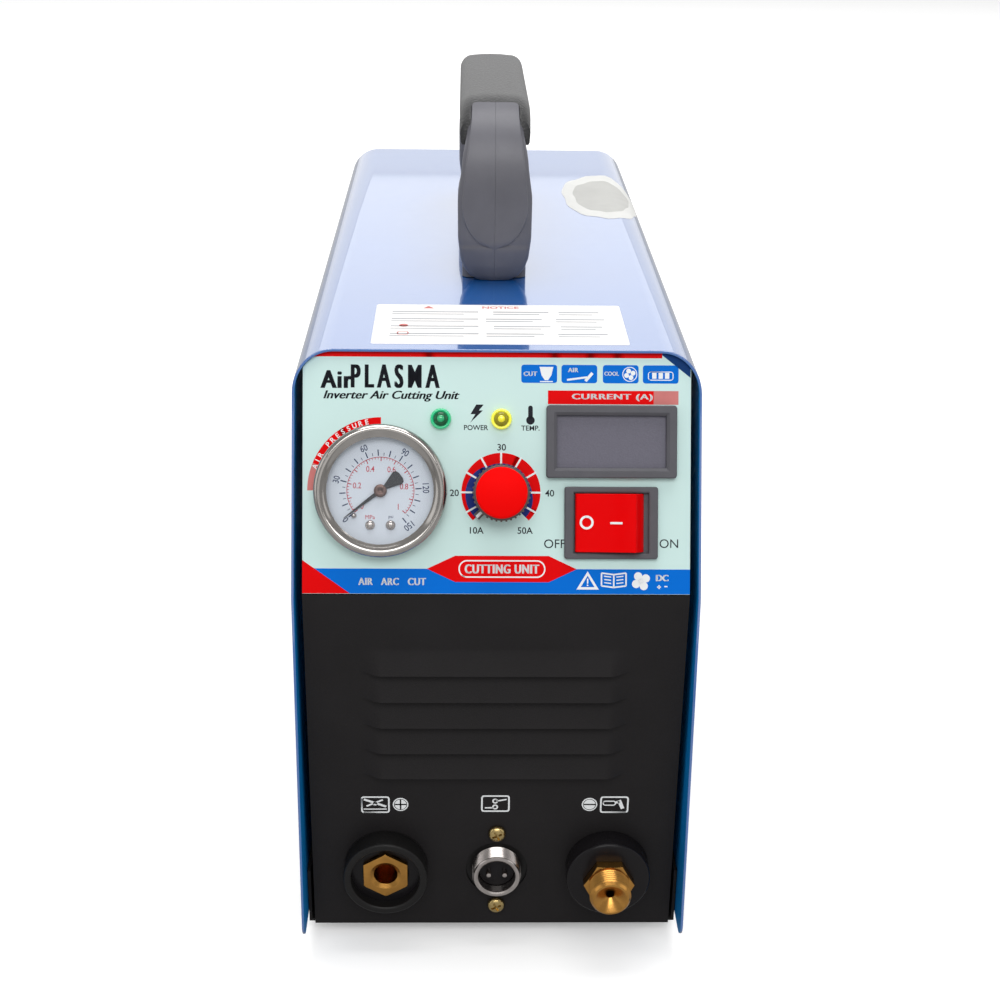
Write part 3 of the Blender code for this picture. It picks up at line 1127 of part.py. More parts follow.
def main():
    for obj in list(bpy.data.objects):
        bpy.data.objects.remove(obj)
    mats = make_materials()
    frame = empty("case_frame", (0, -CENTRE_Y, 0))
    lean = (math.pi / 2 - SLOPE_LEAN, 0, 0)
    control = empty("control_plane", (FACE_SHIFT, BEND_Y, BEND_Z), lean, frame)
    sockets = empty("socket_plane", (FACE_SHIFT, BEND_Y, BASE_Z), (math.pi / 2, 0, 0), frame)
    rear = empty("rear_plane", (0, REAR_Y, BASE_Z), (math.pi / 2, 0, math.pi), frame)
    make_cover(frame, mats)
    make_tray(frame, mats)
    make_feet(frame, mats)
    front_panel = make_front_panel(frame, mats)
    rear_panel = make_rear_panel(frame, mats)
    overlay = make_overlay(frame, control, mats)
    cut_control_holes(front_panel, overlay, control)
    cut_socket_holes(front_panel, sockets)
    make_gauge(control, mats)
    make_knob(control, mats)
    make_lamps(control, mats)
    make_display(control, mats)
    make_switch(control, mats)
    make_power_sockets(sockets, mats)
    make_signal_socket(sockets, mats)
    make_handle(frame, mats)
    make_fan(rear, rear_panel, mats)
    make_rear_fittings(rear, rear_panel, mats)
    make_power_stage(frame, mats)
    make_control_board(frame, mats)
    hose, branch = make_air_line(frame, mats)
    bpy.context.view_layer.update()
    join_hose(hose, branch)
    make_screws(frame, mats)


main()
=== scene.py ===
"""Looks for an air plasma cutter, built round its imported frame. Local shapes are drawn in millimetres."""

import json
import math

import bmesh
import bpy
from mathutils import Matrix, Vector


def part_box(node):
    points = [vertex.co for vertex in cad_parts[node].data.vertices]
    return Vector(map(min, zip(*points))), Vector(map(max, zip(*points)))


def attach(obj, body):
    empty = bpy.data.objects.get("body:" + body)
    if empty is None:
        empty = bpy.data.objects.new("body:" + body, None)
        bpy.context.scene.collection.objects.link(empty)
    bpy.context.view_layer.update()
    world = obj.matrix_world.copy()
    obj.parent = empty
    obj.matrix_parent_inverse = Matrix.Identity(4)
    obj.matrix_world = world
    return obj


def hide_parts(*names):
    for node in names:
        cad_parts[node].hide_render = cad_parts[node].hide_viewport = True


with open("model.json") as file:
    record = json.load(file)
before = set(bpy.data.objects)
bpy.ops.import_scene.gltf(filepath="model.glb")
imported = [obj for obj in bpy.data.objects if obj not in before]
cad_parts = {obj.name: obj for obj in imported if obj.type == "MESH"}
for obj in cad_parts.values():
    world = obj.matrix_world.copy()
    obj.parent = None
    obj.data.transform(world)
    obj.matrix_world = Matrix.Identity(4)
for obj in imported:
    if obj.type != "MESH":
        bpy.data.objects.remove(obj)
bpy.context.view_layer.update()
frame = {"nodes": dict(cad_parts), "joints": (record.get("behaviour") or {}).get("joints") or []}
joints = {joint["name"]: joint for joint in frame["joints"]}

# ---------------------------------------------------------------- sizes, in millimetres
MM = 0.001
FOIL_START, FOIL_BACK, FOIL_FACE = 0.4, 0.3, 0.9  # foil above the bend line, its back and its face
INK = 0.03  # thickness of a printed layer
HALF_WIDTH = 76.5
CORNER = 15.0
SHEET = 1.0
BASE_Z = 7.0
KINK_Z = 158.0
COVER_BOTTOM = 10.3
CASE_LENGTH = 390.0
TIP_REACH, TIP_RADIUS = 13.2, 7.0
LEAN = math.atan2(joints["rocker_pivot"]["axis"][1], joints["rocker_pivot"]["axis"][2])
PANEL_HALF = 72.7
FOIL_HALF = 72.5


# ---------------------------------------------------------------- planes
def plane(origin, across, up):
    """Matrix from millimetres on a face (across, up, out) to the world."""
    across, up = Vector(across), Vector(up)
    matrix = Matrix((across, up, across.cross(up))).transposed().to_4x4()
    matrix.translation = origin
    return matrix @ Matrix.Scale(MM, 4)


slope_up = Vector((0, math.sin(LEAN), math.cos(LEAN)))
slope_out = Vector((0, -math.cos(LEAN), math.sin(LEAN)))
foil_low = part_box("control_overlay")[0]
BEND = Vector(
    (
        0,
        foil_low.y - MM * (FOIL_START * slope_up.y + FOIL_FACE * slope_out.y),
        foil_low.z - MM * (FOIL_START * slope_up.z + FOIL_BACK * slope_out.z),
    )
)
cover_low, cover_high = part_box("outer_cover")
TOP_Z = cover_high.z / MM
CASE_Y = cover_high.y - CASE_LENGTH * MM
SHIFT = joints["knob_turn"]["pos_m"][0] / MM  # controls and sockets to the right of the case's middle
FOIL_FACE_PLANE = plane(BEND + slope_out * FOIL_FACE * MM, (1, 0, 0), slope_up)
CONTROL = plane(BEND + Vector((SHIFT * MM, 0, 0)), (1, 0, 0), slope_up)
SHEET_PLANE = plane((0, BEND.y, BASE_Z * MM), (1, 0, 0), (0, 0, 1))
LOWER = SHEET_PLANE @ Matrix.Translation((SHIFT, 0, 0))
REAR = plane((0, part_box("rear_panel")[1].y, 0), (-1, 0, 0), (0, 0, 1))
TOP = plane((0, CASE_Y, TOP_Z * MM), (1, 0, 0), (0, 1, 0))
CASE = plane((0, CASE_Y, 0), (1, 0, 0), (0, 1, 0))
ALONG_X = Matrix(((0, 0, 1, 0), (1, 0, 0, 0), (0, 1, 0, 0), (0, 0, 0, 1)))
ALONG_Y = Matrix(((1, 0, 0, 0), (0, 0, 1, 0), (0, 1, 0, 0), (0, 0, 0, 1)))


def at(matrix, x, y, z=0.0, turn=0.0):
    """The same face with its origin moved and turned about its outward axis."""
    return matrix @ Matrix.Translation((x, y, z)) @ Matrix.Rotation(turn, 4, "Z")


# ---------------------------------------------------------------- finishes
def finish(name, colour, rough, mottle=0.06, mottle_size=45.0, grain=0.0, grain_size=2500.0, cells=False, **sockets):
    """A procedural finish: soft changes of colour and gloss, and a fine surface grain."""
    mat = bpy.data.materials.new(name)
    mat.use_nodes = True
    tree = mat.node_tree
    shader = tree.nodes["Principled BSDF"]
    place = tree.nodes.new("ShaderNodeTexCoord").outputs["Object"]

    def noise(scale, detail):
        node = tree.nodes.new("ShaderNodeTexNoise")
        node.inputs["Scale"].default_value = scale
        node.inputs["Detail"].default_value = detail
        tree.links.new(place, node.inputs["Vector"])
        return node.outputs["Fac"]

    cloud = noise(mottle_size, 6.0)
    mix = tree.nodes.new("ShaderNodeMix")
    mix.data_type = "RGBA"
    mix.inputs[6].default_value = (*(max(c * (1 - mottle), 0) for c in colour), 1)
    mix.inputs[7].default_value = (*(min(c * (1 + mottle), 1) for c in colour), 1)
    tree.links.new(cloud, mix.inputs[0])
    tree.links.new(mix.outputs[2], shader.inputs["Base Color"])
    gloss = tree.nodes.new("ShaderNodeMapRange")
    gloss.inputs["To Min"].default_value = rough * 0.8
    gloss.inputs["To Max"].default_value = min(rough * 1.2, 1)
    tree.links.new(noise(mottle_size * 7, 3.0), gloss.inputs["Value"])
    tree.links.new(gloss.outputs["Result"], shader.inputs["Roughness"])
    if grain:
        bump = tree.nodes.new("ShaderNodeBump")
        bump.inputs["Strength"].default_value = min(grain, 1.0)
        bump.inputs["Distance"].default_value = 0.0002
        if cells:
            cell = tree.nodes.new("ShaderNodeTexVoronoi")
            cell.feature = "SMOOTH_F1"
            cell.inputs["Scale"].default_value = grain_size
            tree.links.new(place, cell.inputs["Vector"])
            tree.links.new(cell.outputs["Distance"], bump.inputs["Height"])
        else:
            tree.links.new(noise(grain_size, 2.0), bump.inputs["Height"])
        tree.links.new(bump.outputs["Normal"], shader.inputs["Normal"])
    for socket, value in sockets.items():
        shader.inputs[socket.replace("_", " ")].default_value = value
    return mat


BLUE_PAINT = finish("blue_gloss_paint", (0.0005, 0.1, 0.38), 0.2, 0.1, 25, 0.06, 900, Coat_Weight=1.0, Coat_Roughness=0.04, Coat_IOR=2.3)
BLUE_INSIDE = finish("blue_paint_inside", (0.001, 0.2, 0.55), 0.5, 0.1, 60, 0.2, 1500, Specular_IOR_Level=0.2)
BLACK_PAINT = finish("black_powder_coat", (0.016, 0.0146, 0.0152), 0.46, 0.15, 60, 0.3, 2600, Specular_IOR_Level=0.13)
FOIL = finish("front_foil", (0.6, 0.79, 0.76), 0.42, 0.02, 30, 0.08, 4200, Specular_IOR_Level=0.15)
PRINT = {"Specular_IOR_Level": 0.05}
INK_DARK = finish("dark_ink", (0.02, 0.021, 0.028), 0.5, 0.1, **PRINT)
INK_RED = finish("red_ink", (0.75, 0.001, 0.002), 0.4, 0.08, **PRINT)
INK_BLUE = finish("blue_ink", (0.001, 0.15, 0.64), 0.4, 0.06, **PRINT)
INK_DEEP = finish("deep_blue_ink", (0.008, 0.045, 0.17), 0.4, 0.08, **PRINT)
INK_WHITE = finish("white_ink", (0.85, 0.87, 0.88), 0.45, 0.03, **PRINT)
INK_GREY = finish("grey_ink", (0.36, 0.37, 0.4), 0.5, 0.2, 150, **PRINT)
INK_PINK = finish("faded_red_ink", (0.6, 0.2, 0.19), 0.5, 0.15, 150, **PRINT)
SCALE_BLUE = finish("scale_blue_ink", (0.02, 0.035, 0.2), 0.4, 0.08, **PRINT)
DIAL_RED = finish("dial_red_ink", (0.55, 0.05, 0.08), 0.5, 0.08, **PRINT)
DIAL_BLUE = finish("dial_blue_ink", (0.012, 0.03, 0.11), 0.5, 0.08, **PRINT)
DIAL_WHITE = finish("dial_enamel", (0.72, 0.78, 0.86), 0.35, 0.02, **PRINT)
PAPER = finish("label_paper", (0.87, 0.85, 0.83), 0.5, 0.04, 60, 0.1, 1500)
WORN_PAPER = finish("worn_paper", (0.5, 0.5, 0.48), 0.55, 0.1, 120, 0.2, 900, Specular_IOR_Level=0.1)
SILVER_FILM = finish("silver_film", (0.68, 0.68, 0.66), 0.5, 0.08, 90, 0.1, 600, Specular_IOR_Level=0.1)
STAINLESS = finish("polished_stainless", (0.4, 0.38, 0.36), 0.15, 0.2, 120, 0.1, 400, Metallic=1.0)
CHROME = finish("chromed_wire", (0.7, 0.7, 0.72), 0.12, 0.05, 80, 0.05, 900, Metallic=1.0)
NICKEL = finish("nickel_plate", (0.48, 0.44, 0.42), 0.22, 0.2, 200, 0.08, 1500, Metallic=1.0)
BRASS = finish("turned_brass", (0.5, 0.25, 0.06), 0.25, 0.3, 220, 0.12, 900, Metallic=1.0)
ZINC = finish("yellow_zinc", (0.5, 0.37, 0.16), 0.26, 0.35, 450, 0.12, 1200, Metallic=1.0)
STEEL = finish("plain_steel", (0.42, 0.42, 0.43), 0.32, 0.15, 120, 0.1, 1200, Metallic=1.0)
HUB_METAL = finish("browned_metal", (0.16, 0.1, 0.085), 0.4, 0.15, 300, 0.1, 900, Metallic=0.8)
BLACK_METAL = finish("black_enamelled_metal", (0.012, 0.012, 0.014), 0.35, 0.1, 200, 0.05, 900)
PANEL_PLASTIC = finish("grained_grey_plastic", (0.085, 0.084, 0.096), 0.5, 0.14, 150, 0.4, 1900, Specular_IOR_Level=0.35)
SOCKET_PLASTIC = finish("black_socket_plastic", (0.009, 0.008, 0.009), 0.25, 0.2, 120, 0.05, 800, Specular_IOR_Level=0.2)
CUP_PLASTIC = finish("matt_black_plastic", (0.008, 0.0075, 0.0075), 0.45, 0.2, 200, 0.2, 1500, Specular_IOR_Level=0.25)
HANDLE_PLASTIC = finish("satin_handle_plastic", (0.125, 0.124, 0.142), 0.4, 0.14, 90, 0.12, 1500, Specular_IOR_Level=0.4)
GRIP_PLASTIC = finish("leather_grained_plastic", (0.036, 0.036, 0.037), 0.42, 0.2, 260, 1.0, 1050, True, Specular_IOR_Level=0.4)
RED_GLOSS = finish("glossy_red_plastic", (0.78, 0.001, 0.002), 0.16, 0.05, 60, 0.03, 700, Specular_IOR_Level=0.04)
RED_MATT = finish("matt_red_plastic", (0.9, 0.002, 0.002), 0.5, 0.03, 80, 0.1, 2500, Specular_IOR_Level=0.03)
KNOB_PLASTIC = finish("knob_plastic", (0.1, 0.082, 0.08), 0.45, 0.15, 200, 0.2, 1500, Specular_IOR_Level=0.3)
RUBBER = finish("foot_rubber", (0.02, 0.02, 0.02), 0.75, 0.2, 120, 0.4, 1800)
SMOKED = finish("smoked_acrylic", (0.13, 0.125, 0.16), 0.35, 0.16, 1400, 0.3, 1700, Specular_IOR_Level=0.3)
ALUMINIUM = finish("extruded_aluminium", (0.6, 0.61, 0.62), 0.35, 0.08, 100, 0.2, 700, Metallic=1.0)
COPPER = finish("enamelled_copper", (0.6, 0.2, 0.07), 0.3, 0.15, 150, 0.3, 500, Metallic=0.9)
FERRITE = finish("ferrite_core", (0.035, 0.034, 0.036), 0.6, 0.2, 150, 0.3, 900)
BOARD = finish("green_circuit_board", (0.01, 0.12, 0.04), 0.3, 0.2, 130, 0.1, 600)
HOSE = finish("blue_air_hose", (0.02, 0.13, 0.5), 0.3, 0.08, 100, 0.05, 900)
CAN = finish("sleeved_can", (0.015, 0.02, 0.04), 0.3, 0.1, 100, 0.05, 900)
FLOOR = finish("pale_floor", (0.93, 0.93, 0.93), 0.85, 0.01, 3, Emission_Color=(1, 1, 1, 1), Emission_Strength=0.3)


def dim_bounce(mat, seen, bounced):
    """Let the camera see a surface brighter than the light it throws back."""
    tree = mat.node_tree
    shader = tree.nodes["Principled BSDF"]
    path = tree.nodes.new("ShaderNodeLightPath")
    for socket, scale in (("Base Color", 1.0), ("Emission Strength", 0.3)):
        choose = tree.nodes.new("ShaderNodeMapRange")
        choose.inputs["To Min"].default_value = bounced * scale
        choose.inputs["To Max"].default_value = seen * scale
        tree.links.new(path.outputs["Is Camera Ray"], choose.inputs["Value"])
        tree.links.new(choose.outputs["Result"], shader.inputs[socket])


dim_bounce(FLOOR, 0.93, 0.35)


# The indicator lamps stand unlit: the emission given to their lenses and rims is painted glow, that is painted light.
def painted_glow_lens(name, colour, glow):
    mat = finish(name, colour, 0.12, 0.1, 500, Emission_Color=(*colour, 1), Emission_Strength=glow)
    mat.node_tree.nodes["Principled BSDF"].inputs["Coat Weight"].default_value = 1.0
    return mat


GREEN_LENS_PAINTED_GLOW = painted_glow_lens("green_lamp_lens", (0.002, 0.36, 0.13), 0.2)
YELLOW_LENS_PAINTED_GLOW = painted_glow_lens("yellow_lamp_lens", (0.8, 0.72, 0.005), 0.2)
GREEN_RIM_PAINTED_GLOW = painted_glow_lens("green_lamp_rim", (0.005, 0.45, 0.18), 0.3)
YELLOW_RIM_PAINTED_GLOW = painted_glow_lens("yellow_lamp_rim", (0.85, 0.82, 0.05), 0.3)
# The lamps' wells: darker copies of the lens colours, painted shade.
GREEN_WELL_PAINTED_SHADE = finish("green_lamp_well", (0.001, 0.1, 0.035), 0.2, 0.1, 500)
YELLOW_WELL_PAINTED_SHADE = finish("yellow_lamp_well", (0.3, 0.26, 0.005), 0.2, 0.1, 500)


def clear_pane(name):
    """Thin clear glass: mostly see-through, with a gloss that grows towards its edges."""
    mat = finish(name, (0.35, 0.38, 0.42), 0.03, 0.02, 60)
    mat.node_tree.nodes["Principled BSDF"].inputs["Alpha"].default_value = 0.06
    return mat


GLASS = clear_pane("gauge_glass")


# ---------------------------------------------------------------- shapes
def arc(centre, radius, start, end, steps):
    """Points on an arc, degrees from start to end."""
    turns = (math.radians(start + (end - start) * i / steps) for i in range(steps + 1))
    return [(centre[0] + radius * math.cos(t), centre[1] + radius * math.sin(t)) for t in turns]


def rounded(width, height, radius, centre=(0, 0), steps=6):
    points = []
    for sx, sy, start in ((1, 1, 0), (-1, 1, 90), (-1, -1, 180), (1, -1, 270)):
        middle = (centre[0] + sx * (width / 2 - radius), centre[1] + sy * (height / 2 - radius))
        points += arc(middle, radius, start, start + 90, steps)
    return points


def hexagon(across, start=0):
    return arc((0, 0), across / math.sqrt(3), start, start + 300, 5)


def add_prism(mesh, outline, low, high, matrix=None):
    sides = [[mesh.verts.new((x, y, z)) for x, y in outline] for z in (low, high)]
    mesh.faces.new(sides[0][::-1])
    mesh.faces.new(sides[1])
    for i in range(len(outline)):
        j = (i + 1) % len(outline)
        mesh.faces.new([sides[0][i], sides[0][j], sides[1][j], sides[1][i]])
    if matrix:
        for vert in sides[0] + sides[1]:
            vert.co = matrix @ vert.co
    return mesh


def prism(outline, low, high, matrix=None):
    return add_prism(bmesh.new(), outline, low, high, matrix)


def add_loft(mesh, rings, closed=False):
    """Skin equal rings of points. Open lofts get end faces."""
    made = [[mesh.verts.new(point) for point in ring] for ring in rings]
    if not closed:
        mesh.faces.new(made[0][::-1])
        mesh.faces.new(made[-1])
    pairs = list(zip(made, made[1:])) + ([(made[-1], made[0])] if closed else [])
    for near, far in pairs:
        for i in range(len(near)):
            j = (i + 1) % len(near)
            mesh.faces.new([near[i], near[j], far[j], far[i]])
    return mesh


def add_turned(mesh, profile, steps=64, move=(0, 0, 0)):
    """Spin (radius, height) points round Z. A profile that leaves the axis out closes on itself."""
    rings = []
    for radius, height in profile:
        count = steps if radius > 1e-6 else 1
        turns = (2 * math.pi * i / steps for i in range(count))
        rings.append([mesh.verts.new(Vector((radius * math.cos(t), radius * math.sin(t), height)) + Vector(move)) for t in turns])
    pairs = list(zip(rings, rings[1:]))
    if len(rings[0]) > 1 and len(rings[-1]) > 1:
        pairs.append((rings[-1], rings[0]))
    for below, above in pairs:
        for i in range(steps):
            corners = [below[i % len(below)], below[(i + 1) % len(below)]]
            corners += [above[(i + 1) % len(above)], above[i % len(above)]]
            mesh.faces.new(list(dict.fromkeys(corners)))
    return mesh


def turned(profile, steps=64):
    return add_turned(bmesh.new(), profile, steps)


def soften(profile, radius, steps=3):
    """Round the inner corners of a (radius, height) profile."""
    result = [profile[0]]
    for before, point, after in zip(profile, profile[1:], profile[2:]):
        b, p, a = Vector(before), Vector(point), Vector(after)
        if (b - p).length < 1e-6 or (a - p).length < 1e-6:
            result.append(point)
            continue
        reach = min(radius, (b - p).length * 0.45, (a - p).length * 0.45)
        start, end = p + (b - p).normalized() * reach, p + (a - p).normalized() * reach
        for i in range(steps + 1):
            t = i / steps
            result.append(tuple((1 - t) ** 2 * start + 2 * t * (1 - t) * p + t * t * end))
    return [*result, profile[-1]]


def thread(low, high, radius, pitch, depth):
    """Profile points of a thread's flanks between two heights."""
    count = round((high - low) / pitch)
    points = []
    for i in range(count):
        start = low + (high - low) * i / count
        points += [(radius, start + 0.1 * pitch), (radius, start + 0.3 * pitch), (radius - depth, start + 0.7 * pitch)]
        points.append((radius - depth, start + 0.85 * pitch))
    return points


def into_mesh(mesh, name, matrix, merge=1e-4):
    """Close, orient and place a bmesh, and make it mesh data."""
    bmesh.ops.remove_doubles(mesh, verts=mesh.verts, dist=merge)
    bmesh.ops.recalc_face_normals(mesh, faces=mesh.faces)
    data = bpy.data.meshes.new(name)
    mesh.transform(matrix)
    mesh.to_mesh(data)
    mesh.free()
    return data


def thing(name, data, mat=None):
    obj = bpy.data.objects.new(name, data)
    bpy.context.scene.collection.objects.link(obj)
    if mat:
        data.materials.append(mat)
    return obj


def settle(obj):
    """Apply every modifier of an object."""
    bpy.context.view_layer.update()
    graph = bpy.context.evaluated_depsgraph_get()
    data = bpy.data.meshes.new_from_object(obj.evaluated_get(graph))
    obj.modifiers.clear()
    old, obj.data = obj.data, data
    bpy.data.meshes.remove(old)


def combine(obj, cutter_mesh, matrix, operation="DIFFERENCE"):
    """Cut away, join or keep a shape, at once."""
    cutter = thing("cutter", into_mesh(cutter_mesh, "cutter", matrix))
    mod = obj.modifiers.new("cut", "BOOLEAN")
    mod.operation, mod.object, mod.solver = operation, cutter, "EXACT"
    settle(obj)
    data = cutter.data
    bpy.data.objects.remove(cutter)
    bpy.data.meshes.remove(data)


def dress(obj, slot, body="case", replaces=(), sharp=32, bevel=0.0, flat=False):
    """Smooth a piece, round its edges, and hang it on its body."""
    obj.data.shade_smooth()
    obj.data.set_sharp_from_angle(angle=math.radians(sharp))
    if bevel:
        mod = obj.modifiers.new("edges", "BEVEL")
        mod.width, mod.segments, mod.limit_method = bevel * MM, 3, "ANGLE"
        mod.angle_limit = math.radians(sharp)
        mod.harden_normals = True
    if flat:
        mod = obj.modifiers.new("normals", "WEIGHTED_NORMAL")
        mod.keep_sharp = True
    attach(obj, body)
    if replaces:
        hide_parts(*replaces)
    return obj


def make(name, mesh, mat, slot, matrix, **looks):
    return dress(thing(name, into_mesh(mesh, name, matrix), mat), slot, **looks)


# ---------------------------------------------------------------- what repeats
def copies_tree():
    """Geometry Nodes tree: copies of a shape, each moved and turned on from the one before."""
    tree = bpy.data.node_groups.new("evenly spaced copies", "GeometryNodeTree")
    face = tree.interface
    face.new_socket("Geometry", in_out="INPUT", socket_type="NodeSocketGeometry")
    for label, kind in (("Shape", "Object"), ("Count", "Int"), ("Shift", "Vector"), ("Turn", "Float"), ("Finish", "Material")):
        face.new_socket(label, in_out="INPUT", socket_type="NodeSocket" + kind)
    face.new_socket("Geometry", in_out="OUTPUT", socket_type="NodeSocketGeometry")
    add = tree.nodes.new
    start, end = add("NodeGroupInput"), add("NodeGroupOutput")
    line, shape, place = add("GeometryNodeMeshLine"), add("GeometryNodeObjectInfo"), add("GeometryNodeInstanceOnPoints")
    index, turn, axis = add("GeometryNodeInputIndex"), add("ShaderNodeMath"), add("ShaderNodeCombineXYZ")
    real, paint = add("GeometryNodeRealizeInstances"), add("GeometryNodeSetMaterial")
    turn.operation = "MULTIPLY"
    for out, into in (
        (start.outputs["Count"], line.inputs["Count"]),
        (start.outputs["Shift"], line.inputs["Offset"]),
        (start.outputs["Shape"], shape.inputs["Object"]),
        (line.outputs["Mesh"], place.inputs["Points"]),
        (shape.outputs["Geometry"], place.inputs["Instance"]),
        (index.outputs["Index"], turn.inputs[0]),
        (start.outputs["Turn"], turn.inputs[1]),
        (turn.outputs["Value"], axis.inputs["Z"]),
        (axis.outputs["Vector"], place.inputs["Rotation"]),
        (place.outputs["Instances"], real.inputs["Geometry"]),
        (real.outputs["Geometry"], paint.inputs["Geometry"]),
        (start.outputs["Finish"], paint.inputs["Material"]),
        (paint.outputs["Geometry"], end.inputs["Geometry"]),
    ):
        tree.links.new(out, into)
    return tree


COPIES = copies_tree()


def repeated(mesh, count, shift=(0, 0, 0), turn=0.0, mat=None):
    """A bmesh of evenly spaced copies, made by the tree."""
    source = thing("one copy", into_mesh(mesh, "one copy", Matrix.Identity(4)))
    holder = thing("copies", bpy.data.meshes.new("copies"))
    mod = holder.modifiers.new("copies", "NODES")
    mod.node_group = COPIES
    values = {"Shape": source, "Count": count, "Shift": shift, "Turn": math.radians(turn), "Finish": mat}
    for item in COPIES.interface.items_tree:
        if item.item_type == "SOCKET" and item.name in values:
            mod[item.identifier] = values[item.name]
    settle(holder)
    result = bmesh.new()
    result.from_mesh(holder.data)
    for obj in (source, holder):
        data = obj.data
        bpy.data.objects.remove(obj)
        bpy.data.meshes.remove(data)
    return result


def join(mesh, other):
    """Add another bmesh to a bmesh."""
    data = bpy.data.meshes.new("joined")
    other.to_mesh(data)
    other.free()
    mesh.from_mesh(data)
    bpy.data.meshes.remove(data)
    return mesh


# ---------------------------------------------------------------- print
def lettering(words, tall, bold=0.0, slant=0.0, stretch=1.0, wide=None, apart=1.0):
    """Closed flat letters, centred on the origin, this tall over their capitals."""
    font = bpy.data.curves.new("lettering", "FONT")
    font.body, font.size, font.offset, font.shear = words, 1.0, bold, slant
    font.align_x, font.align_y = "CENTER", "CENTER"
    font.extrude, font.resolution_u, font.space_character = 0.01, 4, apart
    obj = thing("lettering", font)
    bpy.context.view_layer.update()
    data = bpy.data.meshes.new_from_object(obj.evaluated_get(bpy.context.evaluated_depsgraph_get()))
    mesh = bmesh.new()
    mesh.from_mesh(data)
    bpy.data.objects.remove(obj)
    bpy.data.curves.remove(font)
    bpy.data.meshes.remove(data)
    bmesh.ops.remove_doubles(mesh, verts=mesh.verts, dist=1e-5)
    xs, ys = [v.co.x for v in mesh.verts], [v.co.y for v in mesh.verts]
    scale = tall / (max(ys) - min(ys))
    across = wide / (max(xs) - min(xs)) if wide else scale * stretch
    middle = Vector(((max(xs) + min(xs)) / 2, (max(ys) + min(ys)) / 2, 0))
    for vert in mesh.verts:
        place = vert.co - middle
        vert.co = Vector((place.x * across, place.y * scale, INK if place.z > 0 else 0))
    return mesh


class Print:
    """One ink's layer on a face."""

    def __init__(self):
        self.mesh = bmesh.new()

    def shape(self, outline, level=0):
        add_prism(self.mesh, outline, level * INK, (level + 1) * INK)

    def text(self, words, x, y, tall, level=0, turn=0.0, heavy=0.0, **style):
        for side in (-1, 0, 1) if heavy else (0,):
            letters = lettering(words, tall, **style)
            aside = Matrix.Translation((side * heavy, 0, 0))
            letters.transform(Matrix.Translation((x, y, level * INK)) @ Matrix.Rotation(math.radians(turn), 4, "Z") @ aside)
            join(self.mesh, letters)

    def disc(self, x, y, radius, level=0):
        self.shape(arc((x, y), radius, 0, 345, 23), level)

    def band(self, inner, outer, start, end, centre=(0, 0), level=0, steps=24):
        """Part of a ring. Inner and outer are radii, or functions of the angle in degrees."""
        rim, hole = [], []
        for i in range(steps + 1):
            angle = start + (end - start) * i / steps
            turn = math.radians(angle)
            for radius, points in ((outer, rim), (inner, hole)):
                r = radius(angle) if callable(radius) else radius
                points.append((centre[0] + r * math.cos(turn), centre[1] + r * math.sin(turn)))
        for i in range(steps):
            self.shape([hole[i], rim[i], rim[i + 1], hole[i + 1]], level)

    def line(self, start, end, width, level=0):
        s, e = Vector(start), Vector(end)
        side = (e - s).normalized().orthogonal() * width / 2
        self.shape([tuple(s - side), tuple(e - side), tuple(e + side), tuple(s + side)], level)

    def frame(self, x, y, width, tall, stroke, level=0):
        outer, inner = rounded(width, tall, 1.1, (x, y), 3), rounded(width - 2 * stroke, tall - 2 * stroke, 0.6, (x, y), 3)
        for i in range(len(outer)):
            j = (i + 1) % len(outer)
            self.shape([inner[i], outer[i], outer[j], inner[j]], level)

    def lay(self, name, mat, matrix, slot="printed_foil", body="case"):
        return make(name, self.mesh, mat, slot, matrix, body=body, sharp=20)


# ---------------------------------------------------------------- cover
def cover_section(shrink, steps=14):
    half, top, radius = HALF_WIDTH - shrink, TOP_Z - shrink, CORNER - shrink
    right = arc((half - radius, top - radius), radius, 0, 90, steps)
    left = arc((-half + radius, top - radius), radius, 90, 180, steps)
    return [(half, COVER_BOTTOM), *right, *left, (-half, COVER_BOTTOM)]


def make_cover():
    """The folded blue sheet, with its round forward tips."""
    sheet = prism(cover_section(0) + cover_section(SHEET)[::-1], -30, CASE_LENGTH + 30, ALONG_Y)
    cover = thing("outer_cover_sheet", into_mesh(sheet, "outer_cover_sheet", CASE))
    lean = math.atan2(TIP_REACH, KINK_Z - COVER_BOTTOM)
    run = TIP_RADIUS * math.tan(math.pi / 4 + lean / 2)
    side = arc((-TIP_REACH + run, COVER_BOTTOM + TIP_RADIUS), TIP_RADIUS, 180 + math.degrees(lean), 270, 14)
    past = 20.0
    side += [(CASE_LENGTH, COVER_BOTTOM), (CASE_LENGTH, TOP_Z + past)]
    side += [((TOP_Z + past - KINK_Z) * math.tan(LEAN), TOP_Z + past), (0, KINK_Z)]
    combine(cover, prism(side, -HALF_WIDTH - past, HALF_WIDTH + past, ALONG_X), CASE, "INTERSECT")
    cover.data.materials.clear()
    cover.data.materials.append(BLUE_PAINT)
    cover.data.materials.append(BLUE_INSIDE)
    for face in cover.data.polygons:
        inward = Vector((-face.center.x, 0, 0.1 - face.center.z))
        if face.normal.dot(inward) > 0.02:
            face.material_index = 1
    dress(cover, "blue_paint", replaces=["outer_cover"], sharp=40, bevel=0.25, flat=True)


def wrap(x, y, lift):
    """Place x along the cover's skin, measured from its centre line, and y along its length."""
    flat = HALF_WIDTH - CORNER
    if abs(x) <= flat:
        return (x, y, lift)
    turn = (abs(x) - flat) / CORNER
    reach = CORNER + lift
    return (math.copysign(flat + reach * math.sin(turn), x), y, reach * math.cos(turn) - CORNER)


